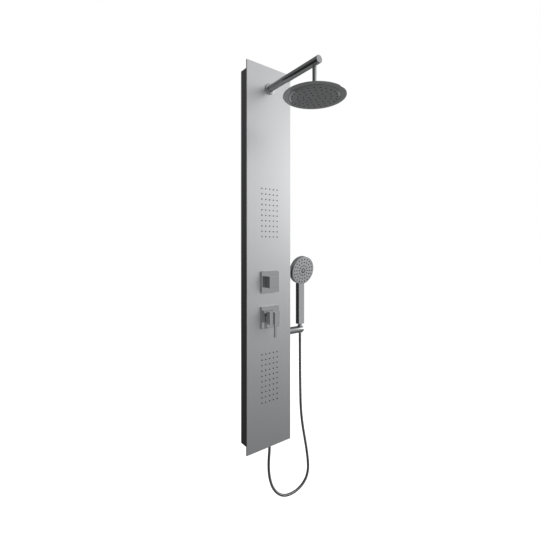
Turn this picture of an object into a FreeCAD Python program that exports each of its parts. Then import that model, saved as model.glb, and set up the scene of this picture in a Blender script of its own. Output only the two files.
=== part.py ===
import FreeCAD, Part

import math
import os

import Sketcher
from FreeCAD import Placement, Rotation, Vector

# Shower panel column: a folded steel front sheet on a black housing, with an overhead
# shower on a straight arm, two fields of body jets, a diverter, a single lever mixer
# and a hand shower whose hose hangs in a loop below the column.
#
# Millimetres. +X is to the right seen from the front, the front faces -Y and +Z is up.
# The origin is the middle of the four wall screws, on the wall: the wall is the plane
# Y = 0, and a depth is measured from it towards the person in the shower.

SIZES = {
    # front sheet and housing
    "panel_width": 200.0,
    "panel_height": 1400.0,
    "column_depth": 63.0,
    "panel_sheet": 1.2,
    "panel_fold": 5.0,
    "panel_edge": 0.4,
    "housing_inset": 15.0,
    "housing_sheet": 1.5,
    "housing_flange": 12.0,
    "housing_lip": 10.0,
    "housing_edge": 1.2,
    # weld studs and their nuts
    "stud_dia": 4.0,
    "stud_length": 8.0,
    "stud_row_pitch": 330.0,
    "stud_nut_flats": 7.0,
    "stud_nut_height": 3.2,
    "stud_clearance": 0.2,
    # wall brackets and the rails that hang on them
    "bracket_hole_width": 80.0,
    "bracket_hole_height": 1200.0,
    "bracket_hole_dia": 6.5,
    "bracket_width": 120.0,
    "bracket_sheet": 2.0,
    "bracket_foot": 28.0,
    "bracket_hook": 12.0,
    "bracket_gap": 2.2,
    "rail_height": 30.0,
    "rail_sheet": 2.0,
    # shower arm
    "arm_below_top": 80.0,
    "arm_reach": 258.0,
    "arm_dia": 25.0,
    "arm_wall": 1.5,
    "arm_cap": 3.0,
    "arm_cap_plug": 8.0,
    "arm_flange_dia": 40.0,
    "arm_flange_thickness": 5.0,
    "arm_nipple_tail": 17.0,
    "arm_nipple_plug": 12.0,
    "lock_nut_flats": 30.0,
    "lock_nut_height": 6.0,
    "drop_reach": 236.0,
    "drop_dia": 13.6,
    "drop_wall": 1.6,
    # overhead shower and its ball joint
    "head_drop": 110.0,
    "head_dia": 200.0,
    "head_rim": 2.0,
    "head_dome": 12.0,
    "head_boss_dia": 28.0,
    "ball_dia": 22.0,
    "ball_height": 27.0,
    "ball_neck_dia": 10.4,
    "ball_neck_length": 16.0,
    "ball_bore": 6.0,
    "seat_thickness": 1.9,
    "swivel_nut_dia": 34.0,
    "nozzle_plate_dia": 165.0,
    "nozzle_plate_thickness": 2.0,
    "nozzle_plate_proud": 0.8,
    "nozzle_ring_pitch": 17.8,
    "nozzle_tip_dia": 3.4,
    "nozzle_bore": 1.2,
    "nozzle_proud": 0.9,
    "nozzle_mat": 1.6,
    # body jets
    "jet_column_pitch": 17.5,
    "jet_row_pitch": 19.5,
    "upper_jets_height": 163.0,
    "lower_jets_height": -442.0,
    "jet_hole_dia": 5.0,
    "jet_tip_dia": 4.4,
    "jet_proud": 0.9,
    "manifold_margin": 14.0,
    "manifold_depth": 16.0,
    "manifold_wall": 3.0,
    "manifold_ear": 6.0,
    # water lines inside the housing
    "line_depth": 38.0,
    "line_dia": 12.0,
    "line_bore": 8.0,
    "line_side": 70.0,
    "line_sleeve_wall": 1.6,
    # square cover plates
    "plate_size": 80.0,
    "plate_thickness": 6.0,
    "plate_skin": 1.8,
    "plate_border": 3.0,
    "plate_edge": 0.7,
    "diverter_corner": 4.5,
    "mixer_corner": 1.5,
    # diverter
    "diverter_height": -90.0,
    "knob_size": 42.5,
    "knob_depth": 21.5,
    "knob_gap": 1.0,
    "knob_edge": 0.8,
    "knob_recess_dia": 28.0,
    "knob_recess_depth": 10.0,
    "spindle_dia": 8.0,
    "diverter_body_dia": 40.0,
    "diverter_neck_dia": 33.0,
    "diverter_cartridge_dia": 25.0,
    "diverter_nut_flats": 42.0,
    # mixer
    "mixer_height": -219.0,
    "handle_size": 46.5,
    "handle_depth": 24.8,
    "handle_gap": 1.5,
    "handle_tilt": 20.0,
    "handle_edge": 0.8,
    "handle_under": 4.8,
    "lever_width": 10.0,
    "lever_thickness": 6.0,
    "lever_above": 21.0,
    "lever_below": 70.5,
    "lever_edge": 1.0,
    "stem_dia": 8.0,
    "stem_pivot_depth": 60.0,
    "stem_pin_dia": 3.0,
    "mixer_body_dia": 44.0,
    "mixer_neck_dia": 39.0,
    "mixer_cartridge_dia": 35.0,
    "mixer_cavity_dia": 31.0,
    "mixer_nut_flats": 46.0,
    "disc_dia": 18.6,
    "disc_thickness": 3.5,
    "inlet_spacing": 80.0,
    "inlet_nut_flats": 30.0,
    "inlet_nut_length": 17.0,
    "inlet_thread_bore": 18.64,
    "inlet_flange": 2.5,
    # hand shower
    "handset_offset": 181.0,
    "handset_depth": 28.0,
    "handset_height": -56.0,
    "handset_tilt": 10.5,
    "handset_dia": 113.0,
    "handset_face_depth": 48.0,
    "handset_thickness": 25.5,
    "handset_rim": 19.0,
    "handset_plate_dia": 104.0,
    "handset_plate": 2.0,
    "handset_mat": 1.6,
    "handset_cap_dia": 20.0,
    "handle_bottom": -272.5,
    "grip_width": 29.0,
    "grip_depth": 20.0,
    "grip_edge": 0.9,
    "handset_bore": 9.0,
    "handset_neck_dia": 9.0,
    # holder, hose and hose fittings
    "post_dia": 27.5,
    "post_height": -295.0,
    "post_bolt_dia": 8.0,
    "post_bolt_depth": 25.0,
    "cone_top_dia": 21.0,
    "cone_bottom_dia": 17.0,
    "cone_shoulder": 8.0,
    "hose_dia": 10.0,
    "hose_bore": 7.0,
    "hose_rib_depth": 0.45,
    "ferrule_dia": 13.0,
    "ferrule_length": 18.0,
    "ferrule_below": 2.25,
    "outlet_offset": 26.0,
    "outlet_thread_dia": 20.9,
    "outlet_thread": 14.0,
    "outlet_flange_dia": 28.0,
    "hose_nut_dia": 24.0,
    "hose_nut_length": 31.0,
    # fits
    "running_fit": 0.05,
    "easy_fit": 0.15,
}

# Counts of repeated features.
JET_COLUMNS = 5
JET_ROWS = 10
HEAD_RINGS = (6, 12, 18, 24)
HANDSET_RINGS = ((12, 0.39), (16, 0.65), (20, 0.89))
STUD_ROWS = 5
HOSE_RIBS = 196

# Route of the hand shower's hose as (right, up) points in the plane of its two ends,
# chosen by hand along the photographed loop. Both ends hang straight.
HOSE_POINTS = (
    (26.0, -716.0), (26.0, -737.0), (22.5, -768.0), (21.5, -804.0), (26.5, -846.0),
    (41.5, -887.5), (67.0, -920.5), (101.5, -942.5), (143.0, -948.0), (183.5, -940.0),
    (214.0, -917.5), (227.0, -883.5), (224.5, -842.0), (217.5, -796.5), (207.0, -746.5),
    (194.5, -688.0), (185.0, -618.0), (182.5, -532.5), (181.0, -421.0), (181.0, -311.0),
)

FRONT = Rotation(Vector(1, 0, 0), 90)
TOWARDS_X = Rotation(Vector(0, 1, 0), 90)
TOWARDS_Y = Rotation(Vector(1, 0, 0), -90)
UPRIGHT = Rotation()


class Size:
    """A length that carries its number and the sheet formula behind it."""

    def __init__(self, value, text):
        self.value = float(value)
        self.text = text

    def joined(self, other, sign, value):
        return Size(value, "(%s %s %s)" % (self.text, sign, other.text))

    def __add__(self, other):
        other = sized(other)
        return self.joined(other, "+", self.value + other.value)

    def __radd__(self, other):
        return sized(other) + self

    def __sub__(self, other):
        other = sized(other)
        return self.joined(other, "-", self.value - other.value)

    def __rsub__(self, other):
        return sized(other) - self

    def __mul__(self, other):
        other = sized(other)
        return self.joined(other, "*", self.value * other.value)

    def __rmul__(self, other):
        return sized(other) * self

    def __truediv__(self, other):
        other = sized(other)
        return self.joined(other, "/", self.value / other.value)

    def __neg__(self):
        return Size(-self.value, "(0 - %s)" % self.text)

    def __float__(self):
        return self.value

    def tan(self):
        """Tangent of this size read as degrees."""
        return Size(math.tan(math.radians(self.value)), "tan(%s * 1 deg)" % self.text)

    def sin(self):
        """Sine of this size read as degrees."""
        return Size(math.sin(math.radians(self.value)), "sin(%s * 1 deg)" % self.text)

    def cos(self):
        return Size(math.cos(math.radians(self.value)), "cos(%s * 1 deg)" % self.text)

    def sqrt(self):
        return Size(math.sqrt(self.value), "sqrt(%s)" % self.text)


def sized(number):
    if isinstance(number, Size):
        return number
    return Size(number, "(%r)" % float(number))


class Dimensions:
    """The driving dimensions by name, kept in the document's sheet."""

    def __init__(self, document, sizes):
        sheet = document.addObject("Spreadsheet::Sheet", "Dims")
        for row, (name, value) in enumerate(sizes.items(), 1):
            sheet.set("A%d" % row, name)
            sheet.set("B%d" % row, str(value))
            sheet.setAlias("B%d" % row, name)
        document.recompute()
        for name in sizes:
            setattr(self, name, Size(sheet.get(name), "Dims." + name))


doc = FreeCAD.newDocument("shower_panel_column")
d = Dimensions(doc, SIZES)
nodes = []


# ---- building blocks, each bound to the sheet ----

def bind(thing, path, size):
    thing.setExpression(path, sized(size).text)


def place(thing, x, y, z, turn=UPRIGHT):
    """Puts the object's own origin at the point, turned, with the point kept bound."""
    spot = Vector(float(x), float(y), float(z))
    thing.Placement = Placement(spot, turn)
    for axis, size in zip("xyz", (x, y, z)):
        bind(thing, "Placement.Base." + axis, size)
    return thing


def node(name, thing):
    """Names the object that becomes one exported sub-part."""
    thing.Label = name
    nodes.append(thing)
    return thing


def block(x, y, z):
    """Box between the low and high values of each axis."""
    box = doc.addObject("Part::Box", "Box")
    for side, (low, high) in zip(("Length", "Width", "Height"), (x, y, z)):
        bind(box, side, sized(high) - low)
    return place(box, sized(x[0]), sized(y[0]), sized(z[0]))


def rod(axis, radius, along, centre, far_radius=None):
    """Cylinder or cone along +X, +Y or +Z between two values, centred on the others."""
    low, high = sized(along[0]), sized(along[1])
    if far_radius is None:
        shape = doc.addObject("Part::Cylinder", "Rod")
        bind(shape, "Radius", radius)
    else:
        shape = doc.addObject("Part::Cone", "Cone")
        bind(shape, "Radius1", radius)
        bind(shape, "Radius2", far_radius)
    bind(shape, "Height", high - low)
    first, second = sized(centre[0]), sized(centre[1])
    if axis == "X":
        return place(shape, low, first, second, TOWARDS_X)
    if axis == "Y":
        return place(shape, first, low, second, TOWARDS_Y)
    return place(shape, first, second, low)


def ball(radius, x, y, z):
    shape = doc.addObject("Part::Sphere", "Ball")
    bind(shape, "Radius", radius)
    return place(shape, sized(x), sized(y), sized(z))


def hexagon(axis, flats, along, centre):
    """Hexagonal prism along an axis, by its width across flats."""
    shape = doc.addObject("Part::Prism", "Hexagon")
    shape.Polygon = 6
    low, high = sized(along[0]), sized(along[1])
    bind(shape, "Circumradius", sized(flats) / math.sqrt(3.0))
    bind(shape, "Height", high - low)
    first, second = sized(centre[0]), sized(centre[1])
    if axis == "Y":
        return place(shape, first, low, second, TOWARDS_Y)
    return place(shape, first, second, low)


def fused(*shapes):
    joined = doc.addObject("Part::MultiFuse", "Fused")
    joined.Shapes = list(shapes)
    return joined


def cut(base, *tools):
    result = doc.addObject("Part::Cut", "Cut")
    result.Base = base
    result.Tool = tools[0] if len(tools) == 1 else fused(*tools)
    return result


def common(first, second):
    result = doc.addObject("Part::MultiCommon", "Common")
    result.Shapes = [first, second]
    return result


def new_body():
    return doc.addObject("PartDesign::Body", "Body")


def sketch_on(body, role, offset=0.0):
    """Sketch on one of the body's own origin planes, moved along its normal."""
    sketch = body.newObject("Sketcher::SketchObject", "Sketch")
    plane = [item for item in body.Origin.OriginFeatures if item.Role == role][0]
    sketch.AttachmentSupport = [(plane, "")]
    sketch.MapMode = "FlatFace"
    bind(sketch, "AttachmentOffset.Base.z", offset)
    return sketch


def pin(sketch, geometry, point, u, v):
    """Ties a sketch point to its two bound coordinates."""
    for kind, size, axis in (("DistanceX", u, -2), ("DistanceY", v, -1)):
        if sized(size).value == 0.0 and not isinstance(size, Size):
            sketch.addConstraint(Sketcher.Constraint("PointOnObject", geometry, point, axis))
        else:
            value = sized(size).value
            index = sketch.addConstraint(Sketcher.Constraint(kind, -1, 1, geometry, point, value))
            bind(sketch, "Constraints[%d]" % index, size)


def polygon(sketch, corners):
    """Straight edges through the corners, each corner tied to the sheet."""
    spots = [Vector(sized(u).value, sized(v).value, 0) for u, v in corners]
    count = len(spots)
    first = sketch.GeometryCount
    sketch.addGeometry([Part.LineSegment(a, b) for a, b in zip(spots, spots[1:] + spots[:1])])
    sketch.addConstraint([
        Sketcher.Constraint("Coincident", first + i, 2, first + (i + 1) % count, 1)
        for i in range(count)
    ])
    for i, (u, v) in enumerate(corners):
        pin(sketch, first + i, 1, u, v)
    return sketch


def rectangle(sketch, width, height):
    half, rise = sized(width) / 2, sized(height) / 2
    return polygon(sketch, [(-half, -rise), (half, -rise), (half, rise), (-half, rise)])


def circles(sketch, radius, centres):
    """Equal circles with tied centres."""
    first = sketch.GeometryCount
    for u, v in centres:
        spot = Vector(sized(u).value, sized(v).value, 0)
        sketch.addGeometry(Part.Circle(spot, Vector(0, 0, 1), sized(radius).value))
    index = sketch.addConstraint(Sketcher.Constraint("Radius", first, sized(radius).value))
    bind(sketch, "Constraints[%d]" % index, radius)
    for i, (u, v) in enumerate(centres):
        if i:
            sketch.addConstraint(Sketcher.Constraint("Equal", first, first + i))
        pin(sketch, first + i, 3, u, v)
    return sketch


def pad(body, sketch, length, midplane=False):
    feature = body.newObject("PartDesign::Pad", "Pad")
    feature.Profile = sketch
    bind(feature, "Length", length)
    feature.Midplane = midplane
    return feature


def pocket(body, sketch, length, forward):
    """Cuts from the sketch along its normal (forward) or against it."""
    feature = body.newObject("PartDesign::Pocket", "Pocket")
    feature.Profile = sketch
    bind(feature, "Length", length)
    feature.Reversed = forward
    return feature


def rounded(body, radius, wanted):
    """Fillets the edges of the body's last feature whose middle passes the test."""
    doc.recompute()
    base = body.Tip
    names = []
    for number, edge in enumerate(base.Shape.Edges, 1):
        middle = edge.valueAt((edge.FirstParameter + edge.LastParameter) / 2)
        if wanted(middle):
            names.append("Edge%d" % number)
    feature = body.newObject("PartDesign::Fillet", "Fillet")
    feature.Base = (base, names)
    bind(feature, "Radius", radius)
    return feature


def turned(profile, x=0.0, y=0.0, z=0.0, turn=UPRIGHT):
    """Solid of revolution about its own Z axis from (radius, height) corners."""
    body = new_body()
    sketch = polygon(sketch_on(body, "XZ_Plane"), profile)
    feature = body.newObject("PartDesign::Revolution", "Revolution")
    feature.Profile = sketch
    feature.ReferenceAxis = (sketch, ["V_Axis"])
    feature.Angle = 360
    return place(body, sized(x), sized(y), sized(z), turn)


def near(a, b, slack=0.01):
    return abs(float(a) - float(b)) < slack


# ---- front sheet and housing ----

fold_depth = d.column_depth - d.panel_fold
arm_height = d.panel_height / 2 - d.arm_below_top
sheet_back = d.column_depth - d.panel_sheet
housing_width = d.panel_width - 2 * d.housing_inset
housing_height = d.panel_height - 2 * d.housing_inset
stud_side = housing_width / 2 - d.housing_flange / 2
jet_field_width = (JET_COLUMNS - 1) * d.jet_column_pitch
jet_field_height = (JET_ROWS - 1) * d.jet_row_pitch
manifold_width = jet_field_width + 2 * d.manifold_margin
manifold_height = jet_field_height + 2 * d.manifold_margin
ear_side = manifold_width / 2 + 0.75 * d.manifold_ear
ear_rise = manifold_height / 2 - 2 * d.manifold_ear
jet_fields = (("upper", d.upper_jets_height), ("lower", d.lower_jets_height))


def housing_stud_spots():
    rows = [i - (STUD_ROWS - 1) / 2 for i in range(STUD_ROWS)]
    return [(side * stud_side, row * d.stud_row_pitch) for row in rows for side in (-1, 1)]


def manifold_stud_spots(height):
    return [(side * ear_side, height + up * ear_rise) for side in (-1, 1) for up in (-1, 1)]


def all_stud_spots():
    spots = housing_stud_spots()
    for _, height in jet_fields:
        spots += manifold_stud_spots(height)
    return spots


def front_panel():
    """Tray of thin steel, open at the back, with its studs welded inside."""
    body = new_body()
    pad(body, rectangle(sketch_on(body, "XY_Plane"), d.panel_width, d.panel_height), d.panel_fold)
    fold = float(d.panel_fold)
    rounded(body, d.panel_edge, lambda p: near(p.z, fold))
    inner = (d.panel_width - 2 * d.panel_sheet, d.panel_height - 2 * d.panel_sheet)
    inside = rectangle(sketch_on(body, "XY_Plane"), *inner)
    pocket(body, inside, d.panel_fold - d.panel_sheet, forward=True)
    openings = sketch_on(body, "XY_Plane")
    circles(openings, d.outlet_thread_dia / 2 + d.easy_fit, [(0.0, arm_height)])
    circles(openings, d.diverter_neck_dia / 2 + d.easy_fit, [(0.0, d.diverter_height)])
    circles(openings, d.mixer_neck_dia / 2 + d.easy_fit, [(0.0, d.mixer_height)])
    pocket(body, openings, d.panel_fold, forward=True)
    for _, height in jet_fields:
        corner = (-jet_field_width / 2, height - jet_field_height / 2)
        hole = circles(sketch_on(body, "XY_Plane"), d.jet_hole_dia / 2, [corner])
        first = pocket(body, hole, d.panel_fold, forward=True)
        jet_grid(body, hole, first)
    studs = circles(sketch_on(body, "XY_Plane", d.panel_fold - d.panel_sheet),
                    d.stud_dia / 2, all_stud_spots())
    pad(body, studs, d.stud_length).Reversed = True
    place(body, 0.0, -fold_depth, 0.0, FRONT)
    return node("front_panel", body)


def jet_grid(body, sketch, feature):
    """Repeats one jet feature over the columns and rows of a field."""
    grid = body.newObject("PartDesign::LinearPattern", "JetGrid")
    grid.Originals = [feature]
    grid.Direction = (sketch, ["H_Axis"])
    grid.Direction2 = (sketch, ["V_Axis"])
    bind(grid, "Length", jet_field_width)
    bind(grid, "Length2", jet_field_height)
    grid.Occurrences = JET_COLUMNS
    grid.Occurrences2 = JET_ROWS
    body.Tip = grid
    return grid


def rear_housing():
    """Folded box behind the sheet: flange at the front, return lip at the wall."""
    body = new_body()
    outline = rectangle(sketch_on(body, "XY_Plane"), housing_width, housing_height)
    pad(body, outline, sheet_back)
    front = float(sheet_back)
    rounded(body, d.housing_edge, lambda p: not near(p.z, front))
    room = (housing_width - 2 * d.housing_sheet, housing_height - 2 * d.housing_sheet)
    cavity = rectangle(sketch_on(body, "XY_Plane", d.housing_sheet), *room)
    pocket(body, cavity, sheet_back - 2 * d.housing_sheet, forward=True)
    for inset, level in ((d.housing_lip, 0.0), (d.housing_flange, sheet_back - d.housing_sheet)):
        mouth = (housing_width - 2 * inset, housing_height - 2 * inset)
        opening = rectangle(sketch_on(body, "XY_Plane", level), *mouth)
        pocket(body, opening, d.housing_sheet, forward=True)
    stud_holes = circles(sketch_on(body, "XY_Plane", sheet_back - d.housing_sheet),
                         d.stud_dia / 2 + d.stud_clearance, housing_stud_spots())
    pocket(body, stud_holes, d.housing_sheet, forward=True)
    place(body, 0.0, 0.0, 0.0, FRONT)
    side = housing_width / 2
    bolt_hole = rod("X", d.post_bolt_dia / 2 + d.stud_clearance,
                    (side - 2 * d.housing_sheet, side + d.housing_sheet),
                    (-d.handset_depth, d.post_height))
    floor = -housing_height / 2
    outlet_hole = rod("Z", d.outlet_thread_dia / 2 + d.easy_fit,
                      (floor - d.housing_sheet, floor + 2 * d.housing_sheet),
                      (d.outlet_offset, -d.handset_depth))
    return node("rear_housing", cut(body, bolt_hole, outlet_hole))


def stud_nuts():
    """Eighteen equal hexagon nuts, behind the housing flange and the jet boxes' ears."""
    seats = [(spot, sheet_back - d.housing_sheet) for spot in housing_stud_spots()]
    ear_back = sheet_back - d.nozzle_mat - d.manifold_wall
    for _, height in jet_fields:
        seats += [(spot, ear_back) for spot in manifold_stud_spots(height)]
    reach = float(d.stud_nut_flats) / math.sqrt(3.0)
    angles = [math.radians(60 * i) for i in range(7)]
    corners = [Vector(reach * math.cos(a), 0, reach * math.sin(a)) for a in angles]
    plain = Part.Face(Part.makePolygon(corners)).extrude(Vector(0, float(d.stud_nut_height), 0))
    hole = Part.makeCylinder(float(d.stud_dia / 2 + d.running_fit), float(d.stud_nut_height),
                             Vector(0, 0, 0), Vector(0, 1, 0))
    nut = plain.cut(hole)
    copies = []
    for (x, z), depth in seats:
        copy = nut.copy()
        copy.translate(Vector(float(x), -float(depth), float(z)))
        copies.append(copy)
    group = doc.addObject("Part::Feature", "StudNuts")
    group.Shape = Part.makeCompound(copies)
    return node("stud_nuts", group)


def pair_of(name, make, *values):
    """Two equal pieces in one node."""
    pair = doc.addObject("Part::Compound", "Pair")
    pair.Links = [make(value) for value in values]
    return node(name, pair)


def hanging_rail(hole_height):
    """Flat steel rail across the housing, standing on its bracket's shelf."""
    side = housing_width / 2 - d.housing_sheet
    bottom = hole_height + d.bracket_foot / 2
    return block((-side, side), (-d.housing_sheet - d.rail_sheet, -d.housing_sheet),
                 (bottom, bottom + d.rail_height))


def wall_bracket(hole_height):
    """Bent steel strip: screwed foot, shelf and the hook that the rail drops behind."""
    body = new_body()
    sheet = d.bracket_sheet
    hook_back = d.housing_sheet + d.rail_sheet + d.bracket_gap - sheet / 2
    hook_front = hook_back + sheet
    foot = d.bracket_foot / 2
    profile = [
        (0.0, -foot), (0.0, foot), (-hook_back, foot), (-hook_back, foot + d.bracket_hook),
        (-hook_front, foot + d.bracket_hook), (-hook_front, foot - sheet),
        (-sheet, foot - sheet), (-sheet, -foot),
    ]
    pad(body, polygon(sketch_on(body, "YZ_Plane"), profile), d.bracket_width, midplane=True)
    holes = sketch_on(body, "XZ_Plane", -sheet)
    half = d.bracket_hole_width / 2
    circles(holes, d.bracket_hole_dia / 2, [(-half, 0.0), (half, 0.0)])
    pocket(body, holes, 3 * sheet, forward=False).Midplane = True
    return place(body, 0.0, 0.0, hole_height)


# ---- shower arm ----

arm_radius = d.arm_dia / 2
arm_inner = arm_radius - d.arm_wall
arm_end = d.column_depth + d.arm_reach
thread_radius = d.outlet_thread_dia / 2
drop_depth = d.column_depth + d.drop_reach
head_plane = arm_height - d.head_drop
ball_level = head_plane + d.ball_height
drop_bottom = ball_level + d.ball_neck_length


def arm_flange():
    inner = arm_radius + d.running_fit
    outer = d.arm_flange_dia / 2
    thick = d.arm_flange_thickness
    profile = [(inner, 0.0), (outer, 0.0), (outer, 0.45 * thick), (outer - 0.12 * thick, 0.75 * thick),
               (outer - 0.35 * thick, 0.93 * thick), (outer - 0.7 * thick, thick), (inner, thick)]
    return node("arm_flange", turned(profile, 0.0, -d.column_depth, arm_height, FRONT))


def shower_arm():
    """Straight tube, pierced below for the drop pipe."""
    length = d.arm_reach - d.arm_cap
    tube = turned([(arm_inner, 0.0), (arm_radius, 0.0), (arm_radius, length), (arm_inner, length)],
                  0.0, -d.column_depth, arm_height, FRONT)
    hole = rod("Z", d.drop_dia / 2 + d.running_fit, (arm_height - d.arm_dia, arm_height),
               (0.0, -drop_depth))
    return node("shower_arm", cut(tube, hole))


def arm_end_cap():
    plug = arm_inner - d.running_fit
    edge = 0.25 * d.arm_cap
    profile = [(0.0, 0.0), (plug, 0.0), (plug, d.arm_cap_plug), (arm_radius, d.arm_cap_plug),
               (arm_radius, d.arm_cap_plug + d.arm_cap - edge),
               (arm_radius - edge, d.arm_cap_plug + d.arm_cap), (0.0, d.arm_cap_plug + d.arm_cap)]
    back = arm_end - d.arm_cap - d.arm_cap_plug
    return node("arm_end_cap", turned(profile, 0.0, -back, arm_height, FRONT))


def arm_nipple():
    """Threaded tail through the sheet, with its head inside the arm."""
    head = arm_inner - d.running_fit
    bore = d.line_bore / 2
    tail = d.arm_nipple_tail
    profile = [(bore, 0.0), (thread_radius, 0.0), (thread_radius, tail + d.panel_sheet),
               (head, tail + d.panel_sheet), (head, tail + d.panel_sheet + d.arm_nipple_plug),
               (bore, tail + d.panel_sheet + d.arm_nipple_plug)]
    return node("arm_nipple", turned(profile, 0.0, tail - sheet_back, arm_height, FRONT))


def arm_lock_nut():
    nut = hexagon("Y", d.lock_nut_flats, (-sheet_back, d.lock_nut_height - sheet_back),
                  (0.0, arm_height))
    hole = rod("Y", thread_radius + d.running_fit,
               (-sheet_back - 1, d.lock_nut_height - sheet_back + 1), (0.0, arm_height))
    return node("arm_lock_nut", cut(nut, hole))


def arm_elbow():
    """Socket over the nipple's tail that turns down to the riser."""
    socket = thread_radius + 2.5
    mouth = -sheet_back + d.lock_nut_height + 0.5
    level = arm_height
    port = d.line_dia / 2 + d.line_sleeve_wall
    outer = fused(rod("Y", socket, (mouth, -d.line_depth), (0.0, level)),
                  ball(socket, 0.0, -d.line_depth, level),
                  rod("Z", port, (level - 2.2 * socket, level), (0.0, -d.line_depth)))
    return node("arm_elbow", cut(
        outer,
        rod("Y", thread_radius + d.running_fit,
            (mouth - 1, d.arm_nipple_tail - sheet_back + d.easy_fit), (0.0, level)),
        rod("Y", d.line_bore / 2, (mouth, -d.line_depth), (0.0, level)),
        ball(d.line_bore / 2, 0.0, -d.line_depth, level),
        rod("Z", d.line_bore / 2, (level - 3 * socket, level), (0.0, -d.line_depth)),
        rod("Z", d.line_dia / 2 + d.running_fit, (level - 3 * socket, level - 1.2 * socket),
            (0.0, -d.line_depth))))


def drop_pipe():
    """Short pipe from the arm down to the ball joint."""
    outer = d.drop_dia / 2
    inner = outer - d.drop_wall
    top = arm_height - arm_inner + 1.0
    return node("drop_pipe", turned(
        [(inner, 0.0), (outer, 0.0), (outer, top - drop_bottom), (inner, top - drop_bottom)],
        0.0, -drop_depth, drop_bottom))


# ---- overhead shower ----

ball_radius = d.ball_dia / 2
socket_radius = ball_radius + d.seat_thickness + 2 * d.running_fit
head_radius = d.head_dia / 2
head_centre = (0.0, -drop_depth)


def head_ball_stud():
    """Bored ball on a neck, pressed up into the drop pipe."""
    spigot = d.drop_dia / 2 - d.drop_wall - d.running_fit
    solid = fused(ball(ball_radius, 0.0, -drop_depth, ball_level),
                  rod("Z", d.ball_neck_dia / 2, (ball_level, drop_bottom), head_centre),
                  rod("Z", spigot, (drop_bottom, drop_bottom + d.ball_neck_length), head_centre))
    bore = rod("Z", d.ball_bore / 2, (ball_level - 2 * ball_radius, drop_bottom + 2 * d.ball_neck_length),
               head_centre)
    return node("head_ball_stud", cut(solid, bore))


def ball_seat(name, low, high, hole_radius):
    """Ring of the hollow sphere round the ball, between two levels from its centre."""
    shell = cut(ball(ball_radius + d.seat_thickness + d.running_fit, 0.0, -drop_depth, ball_level),
                ball(ball_radius + d.running_fit, 0.0, -drop_depth, ball_level),
                rod("Z", hole_radius, (ball_level - 2 * ball_radius, ball_level + 2 * ball_radius),
                    head_centre))
    span = 2 * ball_radius
    slab = block((-span, span), (-drop_depth - span, span - drop_depth),
                 (ball_level + low, ball_level + high))
    return node(name, common(shell, slab))


def head_swivel_nut():
    """Round nut that holds the ball down on the boss of the shower head."""
    outer = d.swivel_nut_dia / 2
    bottom = -1.15 * ball_radius
    thread = d.head_boss_dia / 2 + d.running_fit
    opening = 0.86 * ball_radius
    shelf = 0.55 * ball_radius
    top = 0.78 * ball_radius
    profile = [(thread, bottom), (outer, bottom), (outer, top - 1.5), (outer - 1.5, top),
               (opening + 2.0, top), (opening, shelf + 0.5), (opening, shelf), (opening, 0.0),
               (thread, 0.0)]
    blank = turned(profile, 0.0, -drop_depth, ball_level)
    hollow = common(
        ball(socket_radius, 0.0, -drop_depth, ball_level),
        block((-outer, outer), (-drop_depth - outer, outer - drop_depth),
              (ball_level - outer, ball_level + shelf)))
    return node("head_swivel_nut", cut(blank, hollow))


plate_seat = d.nozzle_plate_dia / 2
plate_inside = d.nozzle_plate_thickness - d.nozzle_plate_proud
mat_top = plate_inside + d.nozzle_mat


def head_shell():
    """Upper shell of the shower head: thin rim, low dome, boss with the ball's cup."""
    boss = d.head_boss_dia / 2
    boss_top = d.ball_height - 3.0
    chamber = plate_seat - 4.0
    profile = [
        (0.0, d.head_dome - 2.5), (0.35 * chamber, d.head_dome - 2.5), (chamber, mat_top + 0.8),
        (chamber, mat_top), (plate_seat - 1.0, mat_top), (plate_seat - 1.0, plate_inside),
        (plate_seat + d.easy_fit, plate_inside), (plate_seat + d.easy_fit, 0.0),
        (head_radius, 0.0), (head_radius, d.head_rim), (head_radius - 10.0, d.head_rim + 2.6),
        (0.3 * head_radius, d.head_dome), (boss, d.head_dome), (boss, boss_top), (0.0, boss_top),
    ]
    shell = turned(profile, 0.0, -drop_depth, head_plane)
    cup = ball(socket_radius, 0.0, -drop_depth, ball_level)
    hole = rod("Z", 0.7 * d.ball_bore, (head_plane, ball_level), head_centre)
    return node("head_shell", cut(shell, cup, hole))


def head_nozzle_spots():
    """Concentric rings of nozzle centres; the first nozzle of each ring points to the right."""
    spots = []
    for ring, count in enumerate(HEAD_RINGS, 1):
        for i in range(count):
            angle = 2 * math.pi * (i + 0.5 * (ring % 2)) / count
            spots.append((ring * d.nozzle_ring_pitch * math.cos(angle),
                          ring * d.nozzle_ring_pitch * math.sin(angle)))
    return spots


def head_nozzle_plate():
    body = new_body()
    sketch = circles(sketch_on(body, "XY_Plane"), plate_seat, [(0.0, 0.0)])
    pad(body, sketch, d.nozzle_plate_thickness)
    rounded(body, 0.4 * d.nozzle_plate_thickness, lambda p: near(p.z, 0))
    holes = circles(sketch_on(body, "XY_Plane"), d.nozzle_tip_dia / 2 + d.running_fit,
                    head_nozzle_spots())
    pocket(body, holes, d.nozzle_plate_thickness, forward=True)
    place(body, 0.0, -drop_depth, head_plane - d.nozzle_plate_proud)
    return node("head_nozzle_plate", body)


def nozzle_mat(radius, thickness, tip, drop, spots):
    """Soft mat with a bored tip for every nozzle hole, tips towards its own -Z."""
    body = new_body()
    pad(body, circles(sketch_on(body, "XY_Plane"), radius, [(0.0, 0.0)]), thickness)
    tips = circles(sketch_on(body, "XY_Plane"), tip, spots)
    pad(body, tips, drop).Reversed = True
    bores = circles(sketch_on(body, "XY_Plane", -drop), d.nozzle_bore / 2, spots)
    pocket(body, bores, drop + thickness, forward=True)
    return body


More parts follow.
